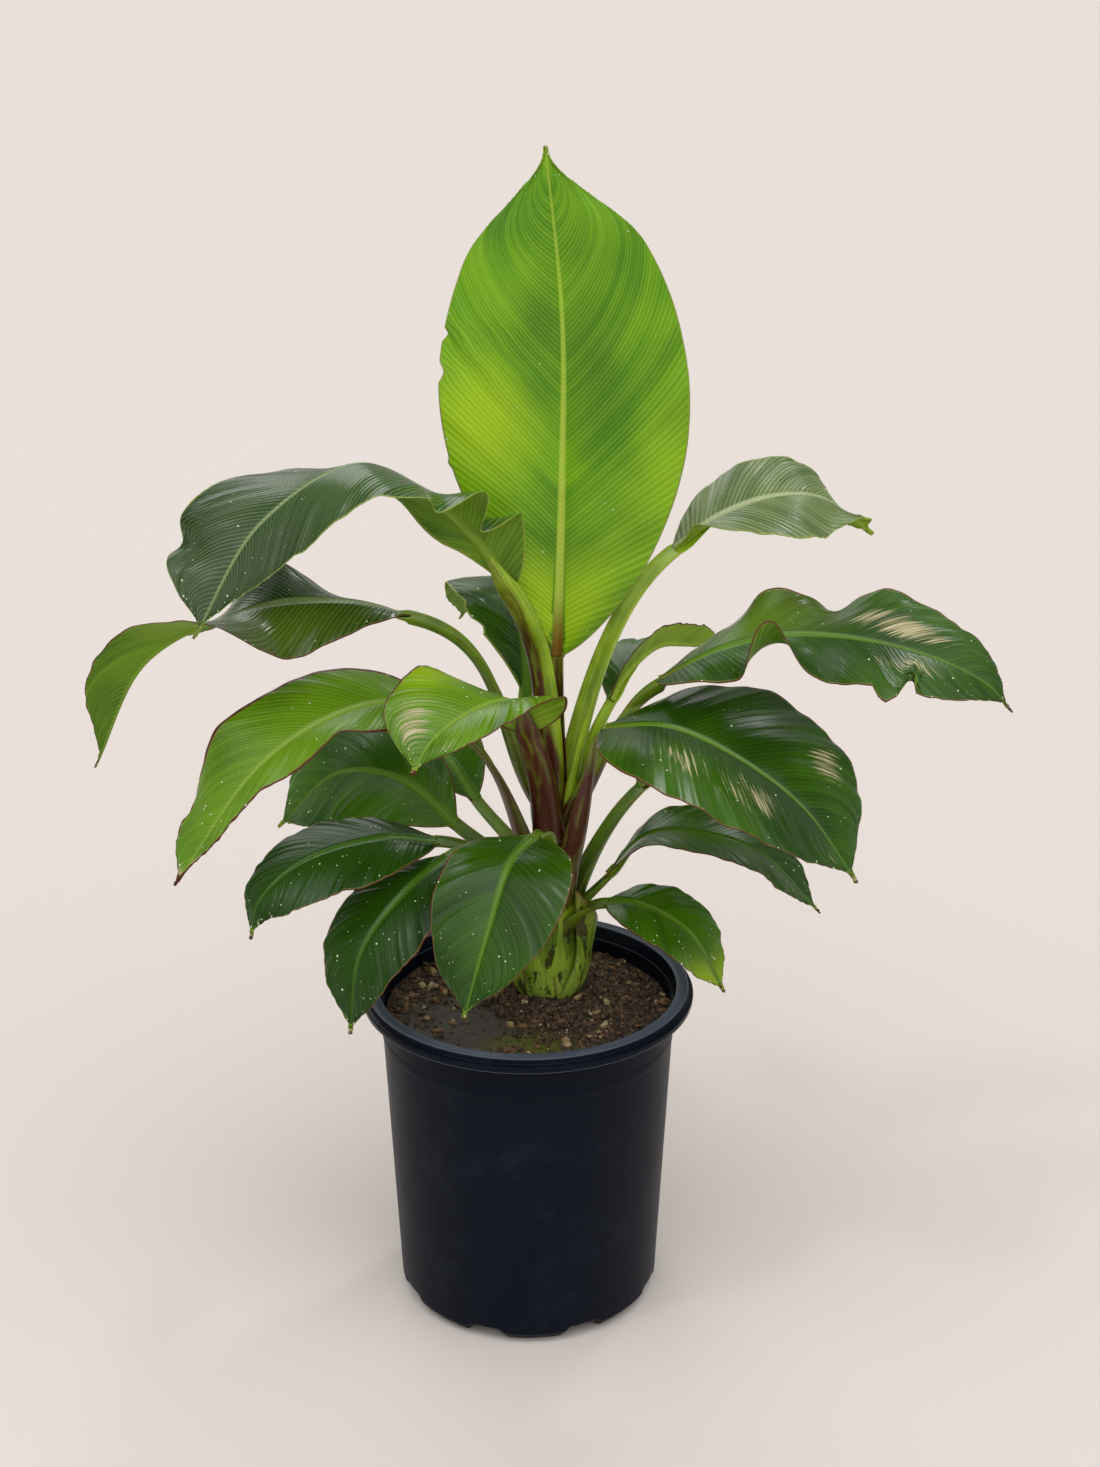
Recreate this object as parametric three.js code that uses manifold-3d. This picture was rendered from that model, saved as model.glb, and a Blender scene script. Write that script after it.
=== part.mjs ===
// A young potted banana plant: a black nursery pot filled with soil, a leaning pseudostem
// and eighteen leaves. Each leaf is a petiole and a blade that follows one midrib.
// Millimetres and degrees, +Z up. The origin is the middle of the pot's flat underside,
// and -Y is the plant's front.
import * as THREE from "three";
import { mergeVertices } from "three/addons/utils/BufferGeometryUtils.js";
import Module from "manifold-3d";

const wasm = await Module();
wasm.setup();

// ---------------------------------------------------------------- driving dimensions

// pieces that meet keep this clearance, and faceted neighbours are cut back a little more
const GAP = 0.3;
const CUT_BACK = 0.45;
const DEG = Math.PI / 180;

// nursery pot of about 12 litres: a tapering wall, a flange below its rim and a bead on top
const POT = {
  height: 284,
  flangeRadius: 140,
  flangeBottom: 272.5,
  flangeTop: 279,
  beadRadius: 136.5,
  beadRound: 1.5,
  wallTop: 124.5,
  wallFoot: 111,
  wall: 3,
  floor: 3,
  footRound: 9,
  lipRound: 3.5,
  sides: 48,
};

// drain notches in the bottom edge
const NOTCH = { count: 8, turn: 25, mouth: 34, crown: 24, height: 9.5, depth: 16 };

// soil fills the pot up to a low flat mound under the stem
const SOIL = { top: 262, shoulder: 258.5, edge: 257, flatRadius: 74, shoulderRadius: 96 };

// the pseudostem's centre line and its half widths, from the soil to the top
const STEM = [
  { at: [18, 30, SOIL.top + GAP], across: 31, deep: 28.5 },
  { at: [18.5, 30, 275], across: 31.5, deep: 29 },
  { at: [20, 30, 315], across: 28, deep: 26 },
  { at: [22, 29.5, 360], across: 24, deep: 22.5 },
  { at: [24, 29, 400], across: 20, deep: 19 },
  { at: [25.5, 29, 430], across: 15, deep: 14 },
  { at: [26, 29, 448], across: 9, deep: 8.5 },
];
const STEM_SIDES = 18;
const SHEATHS = { count: 3, swell: 0.035, turn: 50 };

// a petiole's half width and half depth at its foot and at the blade. It starts inset from
// the stem's centre line, leans out by lean, and its two pulls bend it over to the blade.
const PETIOLE = {
  across: [12, 7],
  deep: [9, 5.5],
  inset: 14,
  lean: 0.1,
  pulls: [0.4, 0.33],
  sides: 6,
  steps: 7,
};

// a blade is this share of its length thick, at least so many mm, with a keel under the
// midrib. neckHalf and tipHalf are the least half widths at its two ends, and drip draws
// the tip out beyond dripFrom of its length.
const BLADE = {
  share: 0.011,
  least: 2.4,
  keel: 5,
  neckHalf: 5.6,
  tipHalf: 1.2,
  drip: 0.6,
  dripFrom: 0.8,
  waveCurl: 1.7,
  steps: 14,
  leastSteps: 6,
};
const ACROSS = [1, 0.55, 0, -0.55, -1];

const ROUGH = { pot: 0.45, soil: 0.95, stem: 0.5, petiole: 0.5, blade: 0.4 };

const COLOUR = {
  pot: 0x17191f,
  soil: 0x2b1d15,
  stem: 0x7c9a2c,
  petiole: 0x6a8f2c,
  bright: 0x78b41e,
  fresh: 0x4f9a22,
  deep: 0x2f6a24,
};

// Each leaf: foot is the height where it leaves the stem, neck the point where the blade
// begins, rib the midrib's points from there to the tip, and lean how far the petiole leans
// out. heading and roll turn the blade about the midrib, from base to tip. left and right
// hold the two halves of the blade: half is the greatest width, peak its place along the
// midrib, base and tip the powers that round or sharpen the two ends, fold the rise from
// flat, and wave the height, place and spread of a flap that turns up. cut is where a long
// arching blade is parted into two pieces.
const LEAVES = [
  {
    name: "spear", foot: 440, tint: "bright", neck: [25, 30, 563],
    rib: [[29, 42, 715], [29, 54, 835], [16, 66, 964]],
    heading: [90], roll: [0],
    left: { half: 101, peak: 0.55, base: 1.05, tip: 0.6, fold: [14] },
    right: { half: 101, peak: 0.5, base: 0.85, tip: 0.75, fold: [14] },
  },
  {
    name: "upper_left", foot: 430, tint: "deep", neck: [-12, -2, 628], cut: 0.45,
    rib: [[-46, -18, 684], [-122, -42, 743], [-199, -62, 702], [-250, -100, 622]],
    heading: [185, 185, 190, 215, 240], roll: [85, 80, 8, -12, -20, -20, -20],
    left: { half: 62, peak: 0.45, base: 0.9, tip: 0.9, fold: [20, 10, 0, 0, 0] },
    right: { half: 72, peak: 0.68, base: 1.3, tip: 0.45, fold: [10, 0, -35, -25, 0, 0] },
  },
  {
    name: "upper_right", foot: 435, tint: "deep", neck: [120, 52, 648],
    rib: [[153, 62, 671], [200, 78, 685], [243, 94, 680], [290, 110, 644]],
    heading: [22], roll: [0, 12, 20, 16, 0],
    left: { half: 48, peak: 0.55, base: 0.6, tip: 0.85, fold: [-5] },
    right: { half: 58, peak: 0.5, base: 1.1, tip: 0.85, fold: [20, 0, -5, -5] },
  },
  {
    name: "middle_left", foot: 420, tint: "deep", neck: [-92, 2, 610], cut: 0.5,
    rib: [[-139, -8, 624], [-216, -24, 622], [-296, -42, 586], [-340, -56, 502]],
    heading: [188, 188, 200], roll: [0, -15, -22, 10, 20, 20, 20],
    left: { half: 55, peak: 0.45, base: 0.8, tip: 0.75, fold: [-10, -22, -20, 0, 30, 55, 45] },
    right: { half: 50, peak: 0.45, base: 0.8, tip: 0.75, fold: [-30, -30, 5, -10, 10, 55, 45] },
  },
  {
    name: "middle_right", foot: 410, tint: "deep", neck: [105, -12, 558], cut: 0.5,
    rib: [[155, -28, 590], [213, -46, 607], [296, -66, 600], [352, -80, 578], [374, -86, 556]],
    heading: [345], roll: [0, 15, 25, 25],
    left: { half: 54, peak: 0.55, base: 0.7, tip: 0.5, fold: [0] },
    right: { half: 50, peak: 0.55, base: 0.7, tip: 0.5, fold: [0], wave: [42, 0.38, 0.09] },
  },
  {
    name: "front_curled", foot: 400, tint: "fresh", neck: [1, -28, 518],
    rib: [[-8, -46, 552], [-42, -84, 554], [-85, -130, 524]],
    heading: [275, 245, 225, 225], roll: [0, -10, -30, -35],
    left: { half: 45, peak: 0.35, base: 0.6, tip: 0.8, fold: [0, 25, 25] },
    right: { half: 58, peak: 0.6, base: 0.9, tip: 0.5, fold: [0, -40, 0, 0, 0] },
  },
  {
    name: "right_front", foot: 380, tint: "deep", neck: [62, -30, 524],
    rib: [[112, -60, 535], [161, -84, 520], [212, -108, 487], [254, -128, 432]],
    heading: [332], roll: [8, 8, 5],
    left: { half: 90, peak: 0.5, base: 0.8, tip: 0.6, fold: [5] },
    right: { half: 97, peak: 0.38, base: 0.6, tip: 0.75, fold: [5] },
  },
  {
    name: "back_right", foot: 410, tint: "fresh", neck: [70, 56, 516],
    rib: [[84, 70, 535], [112, 98, 550], [142, 120, 544], [172, 140, 538]],
    heading: [45], roll: [0, 0, 0, -20],
    left: { half: 36, peak: 0.42, base: 0.8, tip: 0.75, fold: [0] },
    right: { half: 28, peak: 0.5, base: 0.7, tip: 0.4, fold: [70] },
  },
  {
    name: "back_left", foot: 390, tint: "deep", neck: [0, 66, 505],
    rib: [[-2, 84, 555], [-12, 112, 592], [-30, 165, 592], [-60, 225, 535]],
    heading: [110], roll: [0, -5, -10],
    left: { half: 48, peak: 0.45, base: 1.5, tip: 0.75, fold: [5] },
    right: { half: 46, peak: 0.45, base: 1.5, tip: 0.75, fold: [5] },
  },
  {
    name: "lower_left", foot: 370, lean: 0.4, tint: "bright", neck: [-62, -18, 522], cut: 0.5,
    rib: [[-102, -28, 545], [-151, -44, 540], [-209, -60, 505], [-278, -88, 414]],
    heading: [200], roll: [-10, -20, -20, -20],
    left: { half: 36, peak: 0.35, base: 0.7, tip: 0.9, fold: [5] },
    right: { half: 53, peak: 0.42, base: 0.7, tip: 0.8, fold: [5] },
  },
  {
    name: "rear_left", foot: 345, lean: 0.5, tint: "deep", neck: [-60, 54, 406],
    rib: [[-105, 70, 440], [-160, 84, 442], [-216, 98, 386]],
    heading: [165], roll: [-45, -45, -35],
    left: { half: 58, peak: 0.45, base: 0.8, tip: 0.75, fold: [5] },
    right: { half: 50, peak: 0.5, base: 0.8, tip: 0.5, fold: [5] },
  },
  {
    name: "rear_left_inner", foot: 350, lean: 0.4, tint: "deep", neck: [-44, 90, 415],
    rib: [[-76, 130, 445], [-115, 180, 440], [-155, 235, 365]],
    heading: [130], roll: [-10],
    left: { half: 45, peak: 0.4, base: 0.7, tip: 0.75, fold: [5] },
    right: { half: 45, peak: 0.4, base: 0.7, tip: 0.75, fold: [5] },
  },
  {
    name: "low_left", foot: 340, lean: 0.5, tint: "deep", neck: [-72, -22, 424],
    rib: [[-118, -40, 434], [-180, -66, 424], [-214, -84, 396], [-220, -90, 368]],
    heading: [205], roll: [-17],
    left: { half: 44, peak: 0.42, base: 0.7, tip: 0.6, fold: [-12] },
    right: { half: 44, peak: 0.42, base: 0.7, tip: 0.6, fold: [-12] },
  },
  {
    name: "low_front_left", foot: 335, lean: 0.5, tint: "deep", neck: [-64, -42, 419],
    rib: [[-98, -72, 400], [-132, -98, 360], [-141, -120, 299]],
    heading: [225], roll: [10, 3, 0],
    left: { half: 46, peak: 0.42, base: 0.7, tip: 0.7, fold: [-14, -14, 0] },
    right: { half: 45, peak: 0.42, base: 0.7, tip: 0.7, fold: [5] },
  },
  {
    name: "low_front", foot: 330, lean: 0.3, tint: "fresh", neck: [6, -56, 441],
    rib: [[-14, -91, 432], [-30, -120, 391], [-50, -150, 327]],
    heading: [245], roll: [0],
    left: { half: 60, peak: 0.33, base: 0.55, tip: 0.95, fold: [5] },
    right: { half: 51, peak: 0.42, base: 0.65, tip: 0.7, fold: [5, 12, 5] },
  },
  {
    name: "rear_right", foot: 330, lean: 0.35, tint: "deep", neck: [96, 64, 436],
    rib: [[136, 96, 461], [185, 132, 442], [240, 164, 380]],
    heading: [32], roll: [0],
    left: { half: 45, peak: 0.42, base: 0.6, tip: 0.75, fold: [5] },
    right: { half: 45, peak: 0.42, base: 0.6, tip: 0.75, fold: [5] },
  },
  {
    name: "low_right", foot: 320, tint: "deep", neck: [66, 22, 372],
    rib: [[100, 8, 415], [136, 0, 421], [190, -8, 407], [242, -22, 357]],
    heading: [350], roll: [0, 5, 10],
    left: { half: 45, peak: 0.5, base: 1.1, tip: 0.55, fold: [5] },
    right: { half: 42, peak: 0.5, base: 1.1, tip: 0.55, fold: [5] },
  },
  {
    name: "low_right_small", foot: 310, lean: 0.4, tint: "deep", neck: [66, 0, 358],
    rib: [[90, -12, 362], [132, -30, 345], [162, -48, 298]],
    heading: [335], roll: [10],
    left: { half: 38, peak: 0.42, base: 0.6, tip: 0.7, fold: [0] },
    right: { half: 40, peak: 0.42, base: 0.6, tip: 0.7, fold: [0] },
  },
];

// ---------------------------------------------------------------- small helpers

const vec = ([x, y, z]) => new THREE.Vector3(x, y, z);
const clamp = THREE.MathUtils.clamp;
const lerp = THREE.MathUtils.lerp;

// a smooth value at t from values spread evenly over 0 to 1
function ease(values, t) {
  const last = values.length - 1;
  if (last === 0) {
    return values[0];
  }
  const x = clamp(t, 0, 1) * last;
  const i = Math.min(Math.floor(x), last - 1);
  const f = x - i;
  const slope = (k) => (values[Math.min(k + 1, last)] - values[Math.max(k - 1, 0)])
    / (k === 0 || k === last ? 1 : 2);
  const f2 = f * f;
  const f3 = f2 * f;
  return (2 * f3 - 3 * f2 + 1) * values[i] + (f3 - 2 * f2 + f) * slope(i)
    + (3 * f2 - 2 * f3) * values[i + 1] + (f3 - f2) * slope(i + 1);
}

// a closed skin over rings of points that all run the same way round the travel direction
function loftGeometry(rings) {
  const n = rings[0].length;
  const points = rings.flat().flatMap((p) => [p.x, p.y, p.z]);
  const faces = [];
  for (let r = 0; r < rings.length - 1; r += 1) {
    for (let k = 0; k < n; k += 1) {
      const a = r * n + k;
      const b = r * n + ((k + 1) % n);
      faces.push(a, b, b + n, a, b + n, a + n);
    }
  }
  const end = (rings.length - 1) * n;
  for (let k = 0; k < n / 2 - 1; k += 1) {
    const opposite = n - 1 - k;
    faces.push(k, opposite, k + 1, k + 1, opposite, opposite - 1);
    faces.push(end + k, end + k + 1, end + opposite, end + k + 1, end + opposite - 1, end + opposite);
  }
  const geometry = new THREE.BufferGeometry();
  geometry.setAttribute("position", new THREE.Float32BufferAttribute(points, 3));
  geometry.setIndex(faces);
  return geometry;
}

function toManifold(source) {
  const bare = source.clone();
  bare.deleteAttribute("normal");
  bare.deleteAttribute("uv");
  const merged = mergeVertices(bare, 1e-4);
  return new wasm.Manifold(new wasm.Mesh({
    numProp: 3,
    vertProperties: new Float32Array(merged.attributes.position.array),
    triVerts: new Uint32Array(merged.index.array),
  }));
}

function toGeometry(solid) {
  const mesh = solid.getMesh();
  const geometry = new THREE.BufferGeometry();
  geometry.setAttribute("position", new THREE.BufferAttribute(mesh.vertProperties, 3));
  geometry.setIndex(new THREE.BufferAttribute(mesh.triVerts, 1));
  return geometry;
}

// the solid less its neighbours, kept as its largest piece
function trim(solid, neighbours) {
  let rest = solid;
  for (const neighbour of neighbours) {
    rest = rest.subtract(neighbour);
  }
  return rest.decompose().sort((a, b) => b.volume() - a.volume())[0];
}

const plant = new THREE.Group();

function addPart(name, geometry, colour, roughness) {
  const material = new THREE.MeshStandardMaterial({ color: colour, roughness, metalness: 0 });
  geometry.computeVertexNormals();
  const mesh = new THREE.Mesh(geometry, material);
  mesh.name = name;
  plant.add(mesh);
}

// ---------------------------------------------------------------- pot and soil

// the pot's outer radius at a height on its tapering wall
function wallRadius(z) {
  return lerp(POT.wallFoot, POT.wallTop, z / POT.flangeBottom);
}

function lathe(profile) {
  const geometry = new THREE.LatheGeometry(profile.map(([r, z]) => new THREE.Vector2(r, z)), POT.sides);
  return geometry.rotateX(Math.PI / 2);
}

function potGeometry() {
  const { height, beadRadius, beadRound, flangeRadius, flangeBottom, flangeTop } = POT;
  const { wall, floor, footRound, lipRound } = POT;
  const foot = [0, 30, 60, 90].map((a) => [
    wallRadius(footRound) - footRound * (1 - Math.sin(a * DEG)),
    footRound * (1 - Math.cos(a * DEG)),
  ]);
  const mouth = wallRadius(flangeBottom) - wall;
  const inner = wallRadius(floor) - wall;
  const profile = [
    [0, 0],
    ...foot,
    [wallRadius(flangeBottom), flangeBottom],
    [flangeRadius, flangeBottom],
    [flangeRadius, flangeTop],
    [beadRadius, flangeTop],
    [beadRadius, height - beadRound],
    [beadRadius - beadRound, height],
    [mouth + lipRound, height],
    [mouth, height - lipRound],
    [inner, floor + footRound / 2],
    [inner - footRound / 2, floor],
    [0, floor],
  ];
  let solid = toManifold(lathe(profile));
  const notch = new THREE.Shape([
    new THREE.Vector2(-NOTCH.mouth / 2, -1),
    new THREE.Vector2(NOTCH.mouth / 2, -1),
    new THREE.Vector2(NOTCH.crown / 2, NOTCH.height),
    new THREE.Vector2(-NOTCH.crown / 2, NOTCH.height),
  ]);
  for (let k = 0; k < NOTCH.count; k += 1) {
    const cutter = new THREE.ExtrudeGeometry(notch, { depth: NOTCH.depth * 2, bevelEnabled: false });
    cutter.rotateX(Math.PI / 2);
    cutter.translate(0, -(POT.wallFoot - NOTCH.depth), 0);
    cutter.rotateZ((NOTCH.turn + (360 / NOTCH.count) * k) * DEG);
    solid = solid.subtract(toManifold(cutter));
  }
  return toGeometry(solid);
}

function soilGeometry() {
  const inside = (z) => wallRadius(z) - POT.wall - 3 * GAP;
  const low = POT.floor + GAP;
  const step = POT.footRound / 2 + GAP;
  return lathe([
    [0, low],
    [inside(low) - step, low],
    [inside(low), low + step],
    [inside(SOIL.edge), SOIL.edge],
    [SOIL.shoulderRadius, SOIL.shoulder],
    [SOIL.flatRadius, SOIL.top],
    [0, SOIL.top],
  ]);
}

// ---------------------------------------------------------------- pseudostem

// the stem's station at a height, between the two nearest rows of its table
function stemAt(z) {
  const i = clamp(STEM.findIndex((s) => s.at[2] > z), 1, STEM.length - 1);
  const [low, high] = [STEM[i - 1], STEM[i]];
  const f = clamp((z - low.at[2]) / (high.at[2] - low.at[2]), 0, 1);
  return vec(low.at).lerp(vec(high.at), f);
}

function stemGeometry(grow) {
  const rings = STEM.map(({ at: [x, y, z], across, deep }, row) => {
    const ring = [];
    for (let k = 0; k < STEM_SIDES; k += 1) {
      const a = (k / STEM_SIDES) * 2 * Math.PI;
      const bulge = 1 + SHEATHS.swell * Math.cos(SHEATHS.count * a + SHEATHS.turn * DEG * row);
      ring.push(new THREE.Vector3(
        x + (across * bulge + grow) * Math.cos(a),
        y + (deep * bulge + grow) * Math.sin(a),
        z + (row === STEM.length - 1 ? grow : 0),
      ));
    }
    return ring;
  });
  return loftGeometry(rings);
}

// ---------------------------------------------------------------- leaves

// left and upper directions at a point of a midrib that runs along t
function attitude(t, heading, roll) {
  const side = new THREE.Vector3(-Math.sin(heading * DEG), Math.cos(heading * DEG), 0);
  side.addScaledVector(t, -side.dot(t)).normalize();
  side.applyAxisAngle(t, roll * DEG);
  return { side, upper: new THREE.Vector3().crossVectors(t, side) };
}

// the share of its greatest width that a half blade has at t
function outline({ peak, base, tip }, t) {
  const swell = Math.sin(Math.PI * (t < peak ? 0.5 * t / peak : 0.5 + 0.5 * (t - peak) / (1 - peak)));
  const drip = BLADE.drip * THREE.MathUtils.smoothstep(t, BLADE.dripFrom, 1);
  return Math.max(swell, 0) ** (t < peak ? base : tip + drip);
}

const midrib = (leaf) => new THREE.CatmullRomCurve3([leaf.neck, ...leaf.rib].map(vec));

function petioleCurve(leaf) {
  const neck = vec(leaf.neck);
  const foot = stemAt(leaf.foot);
  const out = neck.clone().sub(foot).setZ(0);
  const central = out.length() < PETIOLE.inset;
  out.normalize();
  foot.addScaledVector(out, central ? 0 : PETIOLE.inset);
  const reach = neck.distanceTo(foot);
  const lean = central ? 0 : leaf.lean ?? PETIOLE.lean;
  const rise = new THREE.Vector3(0, 0, 1).addScaledVector(out, lean).normalize();
  const along = midrib(leaf).getTangentAt(0);
  return new THREE.CubicBezierCurve3(
    foot,
    foot.clone().addScaledVector(rise, PETIOLE.pulls[0] * reach),
    neck.clone().addScaledVector(along, -PETIOLE.pulls[1] * reach),
    neck,
  );
}

function petioleGeometry(leaf, grow) {
  const curve = petioleCurve(leaf);
  const rings = [];
  for (let s = 0; s <= PETIOLE.steps; s += 1) {
    const t = s / PETIOLE.steps;
    const along = curve.getTangentAt(t);
    const { side, upper } = attitude(along, leaf.heading[0], ease([0, leaf.roll[0]], t));
    const across = lerp(PETIOLE.across[0], PETIOLE.across[1], Math.sqrt(t)) + grow;
    const deep = lerp(PETIOLE.deep[0], PETIOLE.deep[1], t) + grow;
    const centre = curve.getPointAt(t).addScaledVector(along, s === 0 ? -grow : 0);
    centre.addScaledVector(along, s === PETIOLE.steps ? grow - GAP / 2 : 0);
    const ring = [];
    for (let k = 0; k < PETIOLE.sides; k += 1) {
      const a = ((k + 0.5) / PETIOLE.sides) * 2 * Math.PI;
      const point = centre.clone().addScaledVector(side, across * Math.cos(a));
      ring.push(point.addScaledVector(upper, deep * Math.sin(a)));
    }
    rings.push(ring);
  }
  return loftGeometry(rings);
}

// one row of points across the blade at t, moved by shift along the midrib: its upper face
// from left to right, then its underside
function bladeRing(leaf, curve, t, shift) {
  const length = curve.getLength();
  const along = curve.getTangentAt(t);
  const { side, upper } = attitude(along, ease(leaf.heading, t), ease(leaf.roll, t));
  const thick = Math.max(BLADE.least, BLADE.share * length);
  const centre = curve.getPointAt(t).addScaledVector(along, shift);
  const over = [];
  const under = [];
  for (const v of ACROSS) {
    const half = v > 0 ? leaf.left : leaf.right;
    const fold = ease(half.fold, t) * DEG;
    const least = lerp(BLADE.neckHalf, BLADE.tipHalf, t);
    const reach = Math.max(half.half * outline(half, t), least) * v;
    const [size, place, spread] = half.wave ?? [0, 0, 1];
    const lift = size * Math.exp(-(((t - place) / spread) ** 2)) * Math.abs(v) ** BLADE.waveCurl;
    const point = centre.clone().addScaledVector(side, reach * Math.cos(fold));
    point.addScaledVector(upper, Math.abs(reach) * Math.sin(fold) + lift);
    const tilt = v === 0 ? 0 : Math.sign(v) * fold;
    const normal = upper.clone().multiplyScalar(Math.cos(tilt)).addScaledVector(side, -Math.sin(tilt));
    const depth = thick + (v === 0 ? BLADE.keel * (1 - t) : 0);
    over.push(point);
    under.unshift(point.clone().addScaledVector(normal, -depth));
  }
  return [...over, ...under];
}

function bladeGeometry(leaf, from, to) {
  const curve = midrib(leaf);
  const steps = Math.max(BLADE.leastSteps, Math.round(BLADE.steps * (to - from)));
  const rings = [];
  for (let s = 0; s <= steps; s += 1) {
    const shift = (s === 0 ? GAP : 0) - (s === steps ? GAP : 0);
    rings.push(bladeRing(leaf, curve, lerp(from, to, s / steps), shift / 2));
  }
  return loftGeometry(rings);
}

// ---------------------------------------------------------------- assembly

addPart("pot", potGeometry(), COLOUR.pot, ROUGH.pot);
addPart("soil", soilGeometry(), COLOUR.soil, ROUGH.soil);
addPart("pseudostem", stemGeometry(0), COLOUR.stem, ROUGH.stem);

const cutters = [toManifold(stemGeometry(CUT_BACK))];
for (const leaf of LEAVES) {
  const petiole = trim(toManifold(petioleGeometry(leaf, 0)), cutters);
  cutters.push(toManifold(petioleGeometry(leaf, CUT_BACK)));
  addPart(`petiole_${leaf.name}`, toGeometry(petiole), COLOUR.petiole, ROUGH.petiole);
  const tint = COLOUR[leaf.tint];
  addPart(`blade_${leaf.name}`, bladeGeometry(leaf, 0, leaf.cut ?? 1), tint, ROUGH.blade);
  if (leaf.cut) {
    addPart(`blade_${leaf.name}_outer`, bladeGeometry(leaf, leaf.cut, 1), tint, ROUGH.blade);
  }
}

export default plant;
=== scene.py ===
"""Blender model of a young potted banana plant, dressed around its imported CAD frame.

Lengths are millimetres and angles are degrees, in the CAD frame; meshes are written in
metres. Each leaf is one curve: a sheath on the stem, a petiole and a blade.
"""

import math
import random
from dataclasses import dataclass

import bpy
import numpy as np
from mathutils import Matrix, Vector, noise


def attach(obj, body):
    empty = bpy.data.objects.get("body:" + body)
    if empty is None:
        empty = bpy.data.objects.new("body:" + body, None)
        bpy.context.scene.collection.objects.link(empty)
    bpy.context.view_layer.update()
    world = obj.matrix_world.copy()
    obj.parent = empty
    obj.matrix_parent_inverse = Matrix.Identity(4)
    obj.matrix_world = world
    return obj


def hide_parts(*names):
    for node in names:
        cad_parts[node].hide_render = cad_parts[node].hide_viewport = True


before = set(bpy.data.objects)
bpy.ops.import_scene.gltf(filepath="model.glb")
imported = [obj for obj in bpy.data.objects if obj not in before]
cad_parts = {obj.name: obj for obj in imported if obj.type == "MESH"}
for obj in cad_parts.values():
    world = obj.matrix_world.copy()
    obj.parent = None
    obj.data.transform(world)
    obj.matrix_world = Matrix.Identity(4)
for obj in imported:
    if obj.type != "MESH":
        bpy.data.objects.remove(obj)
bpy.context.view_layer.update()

MM = 0.001

# ---- the plant's sizes

# the pseudostem's centre line with its half widths across and deep
STEM = np.array([
    (18, 30, 256, 22, 20),
    (18, 30, 264, 26, 24),
    (18, 30, 274, 30, 27.5),
    (18.5, 30, 290, 31, 28.5),
    (20, 30, 315, 28, 26),
    (22, 29.5, 360, 24, 22.5),
    (24, 29, 400, 20, 19),
    (25.5, 29, 430, 15, 14),
    (26, 29, 448, 9, 8.5),
])
LAYER = 0.85  # each sheath lies this far inside the next older one
INSET = 14.0  # a petiole leaves the stem this far from its centre line
PLEAT = 4.4  # between a blade's side veins


@dataclass
class Half:
    """Half a blade: its greatest width and where that is, the powers that shape its base and
    its tip, the fold along it, and curls of the margin as (angle, place, spread)."""
    width: float
    peak: float
    base: float
    tip: float
    fold: list
    curls: tuple = ()


@dataclass
class Leaf:
    """A leaf. Places along and across its blade run from 0 to 1, lists are spread evenly
    along it, and side +1 is its left."""
    name: str
    tint: str
    foot: float  # height where the petiole leaves the stem
    neck: tuple  # start of the blade
    rib: list  # the midrib's points up to the tip
    heading: list  # the way the blade runs
    roll: list  # its turn about the midrib
    left: Half
    right: Half = None  # as the left one if it isn't given
    slot: str = "leaf_deep"
    relief: float = 0.03  # height of the pleats between the side veins
    slant: float = 1.2  # how far a side vein runs on to the tip, in half widths
    drip: float = 0.8  # share of the width that the drip tip loses
    hem: float = 1.0  # how brown the margin is
    rim: float = 0.8  # width of the coloured margin
    brown: float = 1.0  # how dry the tip is
    char: float = 0.035  # how far back that reaches
    dry: tuple = ()  # scorched patches (side, along, across, half length, half width, strength)
    notch: tuple = ()  # nicks in a margin (side, along, depth, half length)
    glow: tuple = ()  # painted light and painted shade: patches made lighter or darker, as in dry
    lean: float = 0.1  # how far the petiole leans out at its foot
    inset: float = INSET
    pulls: tuple = (0.4, 0.33)  # the petiole's two curve handles, by its span
    stalk: float = 1.0  # the petiole's width, times the usual one
    depth: float = 1.0  # its depth at the neck, likewise
    red: tuple = (0, 0, 0)  # maroon along the petiole
    blush: tuple = (0, 0.6)  # middle and reach of it across the petiole
    green_and_painted_shade: float = 0.62  # the petiole's green, from 0 dark to 1 bright, partly its own green and partly painted shade on the rear and low petioles
    seams: tuple = (150, 150)  # how far the sheath wraps the stem on each side


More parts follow.
